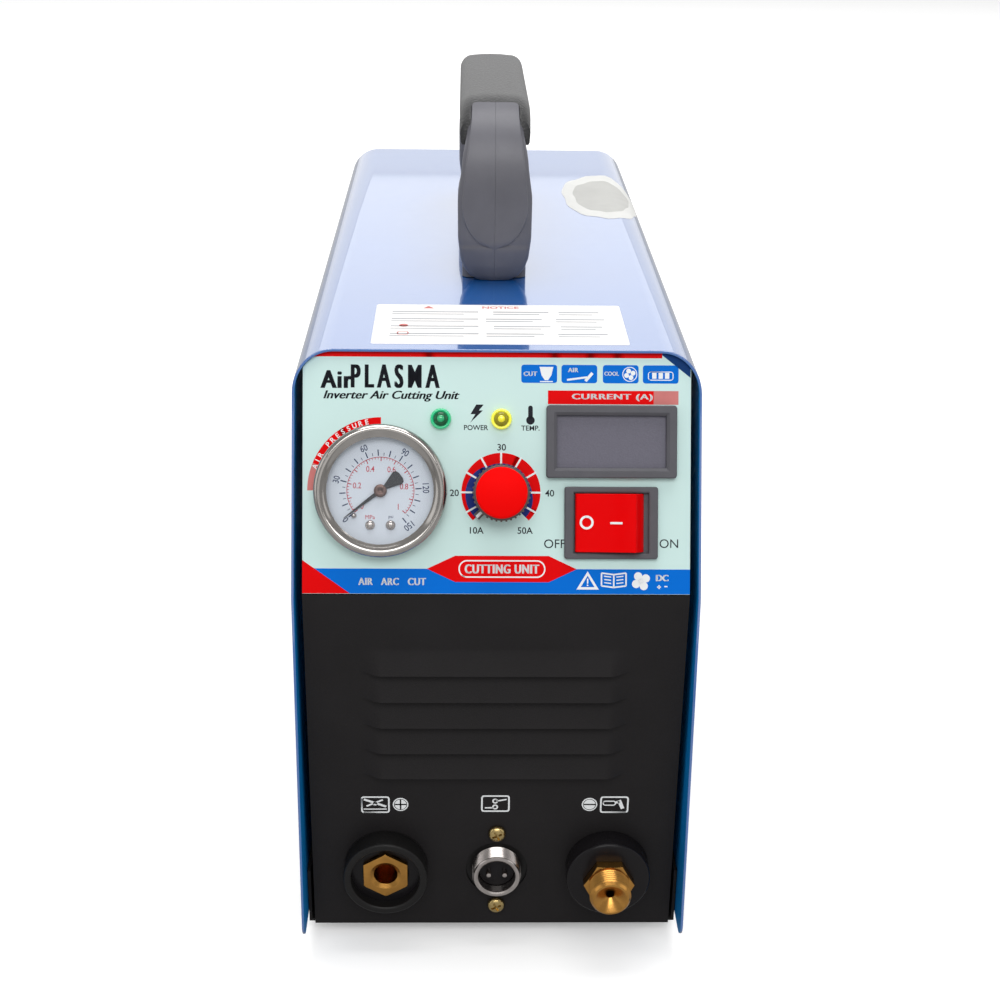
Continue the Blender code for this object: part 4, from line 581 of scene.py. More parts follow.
def make_cover_labels():
    """A plain notice label in front and a worn round sticker at the rear right."""
    label = bmesh.new()
    add_prism(label, rounded(97.5, 49.5, 1.2, (1.2, 67.8)), 0, 0.08)
    make("cover_label", label, PAPER, "printed_foil", TOP)
    grey, faded = Print(), Print()
    for row in range(4):
        y = 82.5 - 9.2 * row
        for x, wide in ((-24, 34), (10 - 3 * (row % 2), 22), (33, 16 + 3 * (row % 2))):
            grey.shape([(x - wide / 2, y), (x + wide / 2, y), (x + wide / 2, y + 1.1), (x - wide / 2, y + 1.1)])
            grey.shape([(x - wide / 2, y - 2.8), (x + wide / 3, y - 2.8), (x + wide / 3, y - 1.9), (x - wide / 2, y - 1.9)])
    faded.shape([(-29, 87.5), (-24.5, 87.5), (-26.8, 90.8)])
    faded.text("NOTICE", 2, 89, 3.0, bold=0.02)
    faded.disc(-36, 65.5, 1.8)
    faded.frame(-36, 56, 4.5, 4, 0.5)
    grey.lay("label_lines", INK_GREY, at(TOP, 0, 0, 0.08))
    faded.lay("label_marks", INK_PINK, at(TOP, 0, 0, 0.08))
    for name, mat, size, lift in (("round_sticker", SILVER_FILM, 1.0, 0.05), ("round_sticker_face", WORN_PAPER, 0.72, 0.09)):
        sticker = bmesh.new()
        rings = 14
        skins = []
        for height in (lift, lift + 0.04):
            rows = []
            for k in range(1, rings + 1):
                row = []
                for i in range(48):
                    turn = math.tau * i / 48
                    torn = 1 + 0.03 * math.sin(5 * turn + 1) + 0.02 * math.sin(11 * turn)
                    reach = size * k / rings * torn
                    row.append(sticker.verts.new(wrap(57 + 20 * reach * math.cos(turn), 280 + 46 * reach * math.sin(turn), height)))
                rows.append(row)
            middle = sticker.verts.new(wrap(57, 280, height))
            for i in range(48):
                j = (i + 1) % 48
                sticker.faces.new([middle, rows[0][i], rows[0][j]])
                for near, far in zip(rows, rows[1:]):
                    sticker.faces.new([near[i], far[i], far[j], near[j]])
            skins.append(rows)
        for i in range(48):
            j = (i + 1) % 48
            sticker.faces.new([skins[0][-1][i], skins[0][-1][j], skins[1][-1][j], skins[1][-1][i]])
        make(name, sticker, mat, "printed_foil", TOP, sharp=60)


# ---------------------------------------------------------------- front panel
LOUVRES, LOUVRE_PITCH, LOUVRE_TOP = 5, 11.55, 129.0
LOUVRE_WIDTH, LOUVRE_TALL, LOUVRE_DEPTH, LOUVRE_END = 105.0, 10.2, 3.8, 9.0
PANEL_SHEET = 1.2


def ease(t):
    t = min(max(t, 0.0), 1.0)
    return t * t * (3 - 2 * t)


def sheet_columns():
    """Places across the front sheet, close together where the louvres' ends rise."""
    half = LOUVRE_WIDTH / 2
    left = [-PANEL_HALF, -half - 6, *(-half + LOUVRE_END * 1.15 * i / 16 for i in range(17))]
    return [*left, 0.0, *(-x for x in reversed(left))]


def louvre_tile():
    """One pitch of the louvred sheet: a hood that rises softly to its open lip, and the strip below it."""
    mesh = bmesh.new()
    half, xs = LOUVRE_WIDTH / 2, sheet_columns()
    ts = [i / 20 for i in range(21)]

    def hood(x, t):
        end = ease((half - abs(x)) / LOUVRE_END)
        return LOUVRE_DEPTH * end * 1.1 * t * t / (t + 0.1)

    upper = [[mesh.verts.new((x, -LOUVRE_TALL * t, hood(x, t))) for x in xs] for t in ts]
    lower = [[mesh.verts.new((x, y, 0)) for x in xs] for y in (-LOUVRE_TALL, -LOUVRE_PITCH)]
    for rows in (upper, lower):
        for near, far in zip(rows, rows[1:]):
            for i in range(len(xs) - 1):
                mesh.faces.new([near[i], far[i], far[i + 1], near[i + 1]])
    return mesh


def panel_faces():
    """The front sheet without its thickness: lower face, louvres, bend and control face."""
    mesh = repeated(louvre_tile(), LOUVRES, (0, -LOUVRE_PITCH, 0))
    mesh.transform(Matrix.Translation((0, LOUVRE_TOP, 0)))
    field_low = LOUVRE_TOP - LOUVRES * LOUVRE_PITCH
    bend = BEND.z / MM - BASE_Z
    slope = (TOP_Z - 1.3 - BEND.z / MM) / math.cos(LEAN)
    in_plane = [(0, 0), (field_low, 0)]
    above = [(LOUVRE_TOP, 0), (bend - 0.5, 0)]
    fold = [(bend - 0.5 + s * math.cos(LEAN) , -s * math.sin(LEAN)) for s in (0.9, slope)]
    for stretch in (in_plane, above, [above[-1], fold[0]], fold):
        rows = [[mesh.verts.new((x, up, out)) for x in sheet_columns()] for up, out in stretch]
        for i in range(len(rows[0]) - 1):
            mesh.faces.new([rows[0][i], rows[0][i + 1], rows[1][i + 1], rows[1][i]])
    return mesh


def make_front_panel():
    mesh = panel_faces()
    bmesh.ops.remove_doubles(mesh, verts=mesh.verts, dist=1e-3)
    bmesh.ops.recalc_face_normals(mesh, faces=mesh.faces)
    if sum(face.normal.z for face in mesh.faces) < 0:
        bmesh.ops.reverse_faces(mesh, faces=mesh.faces)
    data = bpy.data.meshes.new("front_sheet")
    mesh.transform(SHEET_PLANE)
    mesh.to_mesh(data)
    mesh.free()
    panel = thing("front_sheet", data)
    skin = panel.modifiers.new("thickness", "SOLIDIFY")
    skin.thickness, skin.offset = PANEL_SHEET * MM, -1
    settle(panel)
    holes = bmesh.new()
    for x, up, radius in ((-44.6, 29, 13), (44.6, 29, 13), (0, 27.2, 12.4), (0, 44.7, 2), (0, 9.7, 2)):
        add_turned(holes, [(0, -20), (radius, -20), (radius, 10), (0, 10)], 64, (x, up, 0))
    combine(panel, holes, LOWER)
    corners = prism(cover_section(1.3), -30, CASE_LENGTH, ALONG_Y)
    for vert in corners.verts:
        if vert.co.z < COVER_BOTTOM + 1:
            vert.co.z = 0
    combine(panel, corners, CASE, "INTERSECT")
    cuts = bmesh.new()
    add_turned(cuts, [(0, -30), (23.1, -30), (23.1, 10), (0, 10)], 64, (-44.85, 38.9, 0))
    add_turned(cuts, [(0, -30), (4, -30), (4, 10), (0, 10)], 32, (0, 38.4, 0))
    for x in (-22.6, 0):
        add_turned(cuts, [(0, -30), (3.6, -30), (3.6, 10), (0, 10)], 32, (x, 65.8, 0))
    for up, wide, tall in ((57.5, 44.8, 23.2), (27.2, 31, 23)):
        add_prism(cuts, rounded(wide, tall, 0.5, (41.2, up)), -30, 10)
    combine(panel, cuts, CONTROL)
    flanges = bmesh.new()
    flanges.from_mesh(panel.data)
    bend = BEND.y - CASE_Y
    side = [(bend / MM + PANEL_SHEET, BASE_Z + 2), (bend / MM + PANEL_SHEET, BEND.z / MM - 0.5)]
    side += [(y + 10, z) for y, z in reversed(side)]
    for x in (-PANEL_HALF, PANEL_HALF - PANEL_SHEET):
        add_prism(flanges, side, x, x + PANEL_SHEET, CASE @ ALONG_X)
    flanges.to_mesh(panel.data)
    flanges.free()
    panel.data.materials.clear()
    panel.data.materials.append(BLACK_PAINT)
    dress(panel, "black_paint", replaces=["front_panel"], sharp=50)


def socket_icons():
    """White marks above the sockets: clamp and plus, switch contact, minus and torch."""
    ink = Print()
    for x, y in ((-48.5, 58.1), (-0.8, 58.6), (46.6, 58.1)):
        ink.frame(x, y, 11.4, 7.8, 0.65)
    ink.line((-53.2, 56), (-44, 56), 0.5)
    ink.line((-53, 60.6), (-44.2, 57.2), 0.9)
    ink.line((-52, 57.4), (-45.5, 60.4), 0.7)
    ink.disc(-48.6, 58.6, 0.9)
    gaps = Print()
    for x in (-38.5, 36.7):
        ink.disc(x, 58.2, 3.1)
        gaps.line((x - 2.3, 58.2), (x + 2.3, 58.2), 0.6, 1)
        gaps.band(2.35, 2.6, 0, 360, (x, 58.2), 1, 36)
    gaps.line((-38.5, 55.9), (-38.5, 60.5), 0.6, 1)
    gaps.lay("socket_mark_gaps", BLACK_PAINT, LOWER, "black_paint")
    ink.line((-5, 56.6), (-1.6, 56.6), 0.6)
    ink.line((-0.2, 59.8), (3.6, 60.6), 0.6)
    ink.band(0.6, 1.2, 0, 360, (-0.9, 57), steps=12)
    ink.band(0.6, 1.2, 0, 360, (-0.9, 59.8), steps=12)
    ink.frame(44.6, 58.8, 5.4, 2.4, 0.5)
    ink.line((48.4, 60.2), (50, 56.2), 1.5)
    ink.line((47.2, 59.2), (48.6, 59.4), 1.1)
    ink.lay("socket_marks", INK_WHITE, LOWER, "black_paint")


# ---------------------------------------------------------------- print on the foil
def foil_edge(x):
    """Height of the foil's top edge at this place across it."""
    radius, top = CORNER - 1.3, (TOP_Z - 1.3 - BEND.z / MM) / math.cos(LEAN)
    over = abs(x) - (HALF_WIDTH - CORNER)
    if over <= 0:
        return top
    return top - (radius - math.sqrt(max(radius**2 - over**2, 0))) / math.cos(LEAN)


def print_foil():
    face = at(CONTROL, 0, 0, FOIL_FACE)
    dark, red, blue, white, faded = (Print() for _ in range(5))
    dark.text("Air", -61.4, 80.4, 6.6, bold=0.012, wide=11.5, heavy=0.34, apart=1.15)
    dark.text("PLASMA", -39.6, 81.6, 8.8, bold=0.008, wide=32.5, heavy=0.34, apart=1.5)
    dark.text("Inverter Air Cutting Unit", -41, 74.2, 4.0, bold=0.004, slant=0.3, wide=50.5, heavy=0.14)
    # Top strip, with the deep blue corner at its right end.
    steps = [-FOIL_HALF + (61.6 + FOIL_HALF) * i / 40 for i in range(41)]
    strip = [(x, foil_edge(x) - 0.05) for x in steps]
    low = foil_edge(0) - 2.4
    foil = {mat.name: Print() for mat in (INK_RED, INK_BLUE, INK_DEEP)}
    for (xa, ya), (xb, yb) in zip(strip, strip[1:]):
        if yb > low:
            foil["red_ink"].shape([(xa, min(low, ya)), (xb, low), (xb, yb), (xa, max(ya, min(low, ya) + 0.01))])
    corner = [(61.6, low + 1.2), (72.3, 81.6)]
    corner += [(x, foil_edge(x) - 0.05) for x in (72.3, 72, 71, 70, 68.5, 67, 65, 63, 61.6)]
    foil["deep_blue_ink"].shape(corner)
    foil["blue_ink"].shape([(-FOIL_HALF, 0.5), (FOIL_HALF, 0.5), (FOIL_HALF, 9.8), (-FOIL_HALF, 9.8)])
    foil["red_ink"].shape([(-FOIL_HALF, 0.5), (-54.8, 0.5), (-FOIL_HALF, 12.9)], 1)
    for mat in (INK_RED, INK_BLUE, INK_DEEP):
        foil[mat.name].lay("foil_edge_" + mat.name, mat, FOIL_FACE_PLANE)
    # Red hexagon with a plain emblem.
    red.shape([(-27.5, 9.8), (-17, 4.9), (18, 4.9), (28.4, 9.8), (18, 14.7), (-17, 14.7)], 1)
    outer = rounded(32.5, 6.6, 3.2, (0.5, 9.8), 8)
    inner = rounded(31.5, 5.6, 2.7, (0.5, 9.8), 8)
    for i in range(len(outer)):
        j = (i + 1) % len(outer)
        white.shape([inner[i], outer[i], outer[j], inner[j]], 2)
    white.text("CUTTING UNIT", 0.5, 9.8, 3.4, 2, bold=0.004, wide=27.5, heavy=0.18, apart=1.12)
    # Icons on the blue band.
    tri = [(28.4, 2.2), (36.8, 2.2), (32.6, 9)]
    mid = [(30, 3.1), (35.2, 3.1), (32.6, 7.4)]
    for i in range(3):
        j = (i + 1) % 3
        white.shape([mid[i], tri[i], tri[j], mid[j]], 1)
    white.line((32.6, 4.4), (32.6, 6.3), 0.5, 1)
    white.disc(32.6, 3.8, 0.3, 1)
    for side in (-1, 1):
        page = [(42.4, 3), (42.4 + side * 4.6, 3.6), (42.4 + side * 4.6, 8.4), (42.4, 7.8)]
        for a, b in zip(page, page[1:] + page[:1]):
            white.line(a, b, 0.55, 1)
        for row in range(3):
            white.line((42.4 + side * 1, 4.5 + row * 1.2), (42.4 + side * 3.6, 4.8 + row * 1.2), 0.4, 1)
    for k in range(4):
        turn = math.radians(90 * k + 30)
        white.disc(52.6 + 2.1 * math.cos(turn), 5.4 + 2.1 * math.sin(turn), 1.55, 1)
    white.disc(52.6, 5.4, 0.9, 1)
    white.text("DC", 60.6, 6.6, 2.4, 1, bold=0.01, heavy=0.14)
    white.line((58.7, 3.2), (60.1, 3.2), 0.45, 1)
    white.line((59.4, 2.5), (59.4, 3.9), 0.45, 1)
    white.line((61.4, 3.4), (62.6, 3.4), 0.45, 1)
    white.text("AIR   ARC   CUT", -40.5, 5, 2.7, 1, bold=0.004, heavy=0.13, wide=25, apart=1.1)
    # Four blue badges.
    for x in (14.1, 29.1, 44.6, 59.6):
        blue.shape(rounded(13.4, 6.8, 1.0, (x, 82.8), 4))
    white.text("CUT", 10.8, 82.8, 1.7, 1, bold=0.01, heavy=0.08, apart=1.1)
    white.shape([(14.2, 85.4), (19.4, 85.4), (18.6, 82.2), (17.4, 80.4), (16.2, 80.4), (15, 82.2)], 1)
    white.line((14.4, 79.9), (19.2, 79.9), 0.4, 1)
    white.text("AIR", 26.8, 84.3, 1.6, 1, bold=0.01, heavy=0.08, apart=1.1)
    white.line((24.5, 80.6), (32, 81.6), 0.7, 1)
    white.line((31.4, 80.2), (34, 83.2), 1.1, 1)
    white.text("COOL", 41.2, 83, 1.5, 1, bold=0.01, heavy=0.06, stretch=0.92)
    for k in range(4):
        turn = math.radians(90 * k + 20)
        white.disc(48 + 1.3 * math.cos(turn), 82.8 + 1.3 * math.sin(turn), 0.9, 1)
    white.band(2.5, 2.8, 0, 360, (48, 82.8), 1)
    white.frame(59.6, 82.2, 9.6, 3.4, 0.35, 1)
    for x in (57.2, 59.6, 62):
        white.shape([(x - 0.8, 81.2), (x + 0.8, 81.2), (x + 0.8, 83.4), (x - 0.8, 83.4)], 1)
    # Title of the display.
    red.shape([(17.4, 71.5), (57, 71.5), (57, 76.6), (17.4, 76.6)])
    faded.shape([(57, 71.5), (66.3, 71.5), (66.3, 76.6), (57, 76.6)])
    white.text("CURRENT (A)", 41.5, 74.1, 2.7, 1, bold=0.004, wide=30, heavy=0.16, apart=1.12)
    # Lamps' marks.
    dark.shape([(-9.4, 71.2), (-6.6, 71.2), (-8.4, 69), (-6.9, 69), (-11.6, 64.4), (-9.7, 67.6), (-11.5, 67.6)])
    dark.text("POWER", -9.4, 62.6, 1.9, bold=0.012)
    dark.disc(10.9, 65.4, 1.6)
    dark.shape(rounded(1.7, 5, 0.8, (10.9, 68.4), 4))
    dark.text("TEMP.", 10.9, 62.5, 1.9, bold=0.012)
    # Air pressure banner round the gauge.
    centre = (-44.85, 38.9)
    red.band(24.9, 27.4, 90, 158, centre, steps=30)
    faded.band(24.9, 27.4, 158, 180, centre, steps=8)
    for i, letter in enumerate("AIR PRESSURE"):
        if letter != " ":
            angle = 160 - 5.3 * i
            turn = math.radians(angle)
            place = (centre[0] + 26.1 * math.cos(turn), centre[1] + 26.1 * math.sin(turn))
            white.text(letter, *place, 1.9, 1, angle - 90, bold=0.02)
    # Scale of the current knob. Angles run from the right, anticlockwise.
    knob = (0, 38.4)
    red.band(9.0, 14.8, -45, 225, knob, steps=54)

    def crescent(angle):
        left = max(0.0, math.cos(math.radians(angle - 205)))
        right = max(0.0, math.cos(math.radians(angle + 45)))
        return 10.9 + 2.6 * left**0.8 + 2.2 * right**3

    blue_ring = Print()
    blue_ring.band(9.0, crescent, -45, 225, knob, 1, 54)
    blue_ring.lay("knob_scale_blue", SCALE_BLUE, face)
    for k in range(9):
        turn = math.radians(-30 + 30 * k)
        start = (knob[0] + 9.6 * math.cos(turn), knob[1] + 9.6 * math.sin(turn))
        end = (knob[0] + 15.2 * math.cos(turn), knob[1] + 15.2 * math.sin(turn))
        white.line(start, end, 0.7, 2)
    for words, x, y in (("20", -17.4, 38.2), ("30", 0.2, 55.3), ("40", 18.2, 38.2), ("10A", -9, 24.2), ("50A", 9.1, 24.2)):
        dark.text(words, x, y, 2.5, bold=0.012)
    thin = Print()
    thin.text("OFF", 20.2, 19.3, 3.3)
    thin.text("ON", 63, 19.5, 3.3)
    thin.lay("switch_marks", INK_DARK, face)
    inks = ((dark, INK_DARK), (red, INK_RED), (blue, INK_BLUE), (white, INK_WHITE), (faded, INK_PINK))
    for layer, mat in inks:
        layer.lay("foil_" + mat.name, mat, face)


# ---------------------------------------------------------------- gauge
GAUGE = at(CONTROL, -44.85, 38.9)
DIAL_TOP = 3.4


def make_gauge():
    bezel = [(24.75, 1.2), (24.75, 6.6), (24.3, 7.7), (23.3, 8.35), (22.3, 8.3), (21.4, 7.9), (20.6, 7.4), (19.85, 7.1)]
    bezel = soften(bezel, 1.0, 4) + [(19.85, 6.9), (21.75, 6.9), (21.75, 3.7), (22.95, 3.7), (22.95, 1.2)]
    make("gauge_rim", turned(bezel, 128), STAINLESS, "stainless", GAUGE, replaces=["gauge_bezel"], sharp=50)
    dial = turned([(1.2, 2.6), (22.15, 2.6), (22.15, DIAL_TOP), (1.2, DIAL_TOP)], 96)
    make("dial_plate", dial, DIAL_WHITE, "dial_white", GAUGE, replaces=["gauge_dial"])
    lens = turned([(0, 5.6), (21.45, 5.6), (21.45, 6.7), (0, 6.8)], 96)
    make("gauge_pane", lens, GLASS, "clear_glass", GAUGE, replaces=["gauge_lens"])
    face = at(GAUGE, 0, 0, DIAL_TOP)
    red, blue = Print(), Print()
    zero = 220.0
    for ink, outer, inner, wide, count, sweep in (
        (red, 12.5, 11.7, 0.2, 51, 262.0),
        (red, 12.5, 11.0, 0.36, 11, 262.0),
        (blue, 14.2, 13.1, 0.22, 31, 270.9),
        (blue, 15.3, 13.0, 0.42, 16, 270.9),
    ):
        tick = prism([(inner, -wide / 2), (outer, -wide / 2), (outer, wide / 2), (inner, wide / 2)], 0, INK)
        tick.transform(Matrix.Rotation(math.radians(zero), 4, "Z"))
        join(ink.mesh, repeated(tick, count, turn=-sweep / (count - 1)))
    red.band(12.35, 12.6, zero - 262, zero, steps=90)
    for k, words in enumerate(("0", "0.2", "0.4", "0.6", "0.8", "1")):
        turn = math.radians(zero - 262 * k / 5)
        red.text(words, 8.9 * math.cos(turn), 8.9 * math.sin(turn), 2.2, bold=0.006, stretch=0.85)
    for k, words in enumerate(("0", "30", "60", "90", "120", "150")):
        angle = zero - 270.9 * k / 5
        turn = math.radians(angle)
        blue.text(words, 16.9 * math.cos(turn), 16.9 * math.sin(turn), 2.4, turn=angle - 90, bold=0.008, stretch=0.85)
    red.text("MPa", -3.8, -9.8, 1.5)
    blue.text("psi", 3.9, -9.8, 1.5)
    red.lay("dial_red_scale", DIAL_RED, face, "dial_white")
    blue.lay("dial_blue_scale", DIAL_BLUE, face, "dial_white")
    dome = [(1.85, 0), (1.8, 0.5), (1.35, 1.0), (0.7, 1.25), (0, 1.3)]
    studs = bmesh.new()
    for x, y, size in ((-3.8, -12.8, 1), (3.8, -12.8, 1), (13.1 * math.cos(math.radians(221.6)), 13.1 * math.sin(math.radians(221.6)) - 0.6, 0.55)):
        add_turned(studs, [(0, 0), *((r * size, h * (1.0 if size == 1 else 1.2)) for r, h in dome)], 32, (x, y, 0))
    make("dial_studs", studs, NICKEL, "dial_white", face, sharp=60)
    needle = [(17.0, -0.1), (17.0, 0.1), (12, 0.35), (2.2, 0.75), (-2.2, 0.85), (-7.8, 2.8), (-9.0, 2.4), (-9.5, 1.2)]
    needle += [(x, -y) for x, y in reversed(needle[2:])]
    turn = math.radians(217)
    place = at(GAUGE, 0, 0, 0, turn)
    make("needle", prism(needle, 3.8, 4.25), BLACK_METAL, "black_metal", place, body="pointer", replaces=["gauge_pointer"], bevel=0.06)
    hub = turned([(0, 3.5), (2.35, 3.5), (2.4, 4.8), (2.1, 5.05), (0.9, 5.1), (0.75, 4.95), (0, 4.9)], 48)
    make("needle_hub", hub, HUB_METAL, "black_metal", place, body="pointer", sharp=50)


# ---------------------------------------------------------------- lamps, display, switch, knob
def make_lamps():
    for name, x, lens, rim, well in (
        ("power_lamp", -22.6, GREEN_LENS_PAINTED_GLOW, GREEN_RIM_PAINTED_GLOW, GREEN_WELL_PAINTED_SHADE),
        ("temperature_lamp", 0, YELLOW_LENS_PAINTED_GLOW, YELLOW_RIM_PAINTED_GLOW, YELLOW_WELL_PAINTED_SHADE),
    ):
        place = at(CONTROL, x, 65.8)
        slot = "green_lens" if x else "yellow_lens"
        flange = [(0, -12), (3.3, -12), (3.3, 1.2), (3.9, 1.2), (3.9, 2.3), (3.6, 2.75), (3.1, 2.8), (2.75, 2.5), (0, 2.5)]
        # The rim and bead carry painted glow; the well is a darker copy of the lens colour, painted shade.
        make(name + "_rim", turned(soften(flange, 0.3), 64), rim, slot, place, replaces=[name])
        make(name + "_well", turned([(0, 2.45), (2.8, 2.45), (2.55, 3.3), (1.7, 3.9), (0, 4.0)], 48), well, slot, place, sharp=60)
        make(name + "_bead", turned([(0, 3.3), (1.35, 3.3), (1.3, 4.1), (0.8, 4.4), (0, 4.5)], 48), lens, slot, place, sharp=60)


def bevelled_frame(width, tall, radius, well_w, well_h, base, top, slope, floor):
    """Rings of a rectangular rim: out from the panel, over its edge and down to its well."""
    rings = []
    for w, h, r, z in (
        (width - 6, tall - 6, 0.4, base),
        (width, tall, radius, base),
        (width, tall, radius, top - 0.5),
        (width - 0.3, tall - 0.3, radius, top - 0.15),
        (width - 0.9, tall - 0.9, max(radius - 0.3, 0.3), top),
        (well_w + 2 * slope + 0.5, well_h + 2 * slope + 0.5, 0.5, top),
        (well_w + 2 * slope, well_h + 2 * slope, 0.4, top - 0.15),
        (well_w + 0.1, well_h + 0.1, 0.3, top - slope * 0.75),
        (well_w, well_h, 0.25, top - slope * 0.8),
        (well_w, well_h, 0.25, floor),
    ):
        rings.append([(x, y, z) for x, y in rounded(w, h, r, steps=4)])
    return add_loft(bmesh.new(), rings)


def make_display():
    place = at(CONTROL, 41.2, 57.5)
    rim = bevelled_frame(48.8, 27.2, 1.2, 41.0, 19.6, 1.2, 3.7, 0.9, 0.95)
    make("display_rim", rim, PANEL_PLASTIC, "dark_plastic", place, replaces=["display_bezel"], sharp=24)
    pane = prism(rounded(41.0, 19.6, 0.3), 0.96, 1.35)
    make("display_pane", pane, SMOKED, "smoked_window", place, replaces=["display_window"], bevel=0.1)


def make_switch():
    place = at(CONTROL, 41.2, 27.2)
    rim = bevelled_frame(35, 27, 1.0, 28.2, 22.8, 1.2, 3.1, 0.15, -12)
    make("switch_rim", rim, PANEL_PLASTIC, "dark_plastic", place, replaces=["switch_frame"], sharp=24)
    pivot = joints["rocker_pivot"]
    depth = (Vector(pivot["pos_m"]) - BEND).dot(slope_out) / MM
    tilted = at(CONTROL, 41.2, 27.2, depth) @ Matrix.Rotation(math.radians(-12), 4, "Y")
    half, top = 13.6, 11.2
    right = [(half, 0), (half - 0.05, 2.4), (half - 0.6, 5.6), (half - 2.2, top - 0.35), (half - 2.55, top - 0.08), (half - 3.1, top - 0.02)]
    right += [(half * 0.4, top - 0.62)]
    outline = right + [(0, top - 0.8)] + [(-x, z) for x, z in reversed(right)]
    outline += [(-half + 0.7, -3), (-3.5, -7.5), (3.5, -7.5), (half - 0.7, -3)]
    rocker = prism(outline, -10.9, 10.9, ALONG_Y)
    make("rocker", rocker, RED_GLOSS, "red_plastic", tilted, body="rocker", replaces=["switch_rocker"], sharp=28, bevel=0.3)
    marks = bmesh.new()
    on = Print()
    on.band(1.75, 2.6, 0, 360, (-7.2, 0.2), steps=40)
    on.shape([(1.6, -0.35), (6.2, -0.35), (6.2, 0.45), (1.6, 0.45)])
    join(marks, on.mesh)
    for vert in marks.verts:
        across = min(abs(vert.co.x) / (half - 3.1), 1)
        vert.co.z += top - 0.8 + 0.78 * across**1.15 + 0.03
    make("rocker_marks", marks, INK_WHITE, "red_plastic", tilted, body="rocker")


def make_knob():
    place = at(CONTROL, 0, 38.4)
    rib = prism([(9.6, -0.42), (10.75, -0.3), (10.75, 0.3), (9.6, 0.42)], 1.9, 12.2)
    body = turned(soften([(0, 1.7), (10.3, 1.7), (10.3, 12.0), (9.9, 12.5), (0, 12.5)], 0.3), 72)
    join(body, repeated(rib, 36, turn=10))
    tab = prism([(-1.35, 8.4), (1.35, 8.4), (1.35, 13.0), (-1.35, 13.0)], 1.8, 5.6)
    tab.transform(Matrix.Rotation(math.radians(135), 4, "Z"))
    join(body, tab)
    make("knob_skirt", body, KNOB_PLASTIC, "dark_plastic", place, body="knob", replaces=["knob_body"], sharp=30)
    mark = prism([(-0.55, 9.2), (0.55, 9.2), (0.55, 12.9), (-0.55, 12.9)], 5.6, 5.66)
    mark.transform(Matrix.Rotation(math.radians(135), 4, "Z"))
    make("knob_mark", mark, INK_WHITE, "dark_plastic", place, body="knob")
    cap = [(0, 12.6), (9.4, 12.6), (9.5, 12.9), (9.5, 14.5), (9.2, 15.1), (8.6, 15.4), (0, 15.35)]
    make("knob_disc", turned(cap, 96), RED_MATT, "red_plastic", place, body="knob", replaces=["knob_cap"], sharp=50)


# ---------------------------------------------------------------- sockets
def make_power_sockets():
    left, right = at(LOWER, -44.6, 29), at(LOWER, 44.6, 29)
    back = -23.2
    cup = [(10.6, back), (12.5, back), (12.5, 0.3), (16.8, 0.3), (16.8, 9.4), (16.2, 10), (14.3, 10), (13.8, 9.5)]
    cup = soften(cup, 0.5) + [(13.8, 5.2), (10.6, 5.2)]
    make("socket_cup", turned(cup, 96), CUP_PLASTIC, "black_plastic", left, replaces=["ground_socket_body"], sharp=40)
    floor = turned([(9.2, 5.0), (13.75, 5.0), (13.75, 5.35), (9.2, 5.35)], 64)
    make("socket_cup_floor", floor, SOCKET_PLASTIC, "black_plastic", left)
    profile = soften([(8, back), (12.5, back), (12.5, 0.3), (16.8, 0.3), (16.8, 9.3), (16.1, 10), (8, 10)], 0.5)
    disc = thing("torch_socket_disc", into_mesh(turned(profile, 96), "torch_socket_disc", right), SOCKET_PLASTIC)
    combine(disc, prism(hexagon(17.75), -40, 40), right)
    dress(disc, "black_plastic", replaces=["torch_socket_body"], sharp=40)

    nut = thing("ground_hex", into_mesh(prism(hexagon(17.6, 30), back + 4, 7.2), "ground_hex", left), BRASS)
    bore = [(0, -13), (4.7, -13), (4.7, 6.2), (6.4, 7.3), (6.4, 20), (0, 20)]
    combine(nut, turned(bore, 64), left)
    chamfer = turned([(0, -30), (20, -30), (20, 3.6), (9.1, 7.4), (0, 7.4)], 64)
    combine(nut, chamfer, left, "INTERSECT")
    dress(nut, "brass", replaces=["ground_socket_insert"], sharp=25, bevel=0.12)

    nut = thing("torch_hex", into_mesh(prism(hexagon(17.6, 0), back + 4, 14), "torch_hex", right), BRASS)
    chamfer = turned([(0, -30), (20, -30), (20, 9.8), (8.9, 14.0), (0, 14.0)], 64)
    combine(nut, chamfer, right, "INTERSECT")
    combine(nut, turned([(0, -40), (7, -40), (7, 30), (0, 30)], 64), right)
    dress(nut, "brass", replaces=["torch_socket_fitting"], sharp=25, bevel=0.12)
    stub = [(1.7, -18), (7.1, -18), (7.1, 13.6), (7.4, 14.0)] + thread(14.0, 21.4, 8.2, 1.2, 0.6)
    stub += [(7.9, 21.6), (7.1, 22.6), (6.3, 22.7), (5.9, 22.45), (1.9, 19.3), (1.7, 19.1)]
    make("torch_stub", turned(stub, 96), BRASS, "brass", right, sharp=28)


def phillips(mesh_profile, place, name, mat, slot, node):
    """A turned screw head with a cross recess."""
    top = max(height for _, height in mesh_profile)
    head = thing(name, into_mesh(turned(mesh_profile, 48), name, place), mat)
    reach = max(radius for radius, _ in mesh_profile)
    cross = bmesh.new()
    for turn in (25, 115):
        slab = prism([(-reach * 0.6, -reach * 0.13), (reach * 0.6, -reach * 0.13), (reach * 0.6, reach * 0.13), (-reach * 0.6, reach * 0.13)], top - 1.2, top + 1)
        slab.transform(Matrix.Rotation(math.radians(turn), 4, "Z"))
        join(cross, slab)
    mod_mesh = bpy.data.meshes.new("cross")
    cross.to_mesh(mod_mesh)
    cross.free()
    mod_mesh.transform(place)
    cutter = thing("cross", mod_mesh)
    mod = head.modifiers.new("cross", "BOOLEAN")
    mod.object, mod.solver, mod.use_self = cutter, "EXACT", True
    settle(head)
    bpy.data.objects.remove(cutter)
    return dress(head, slot, replaces=[node], sharp=35)


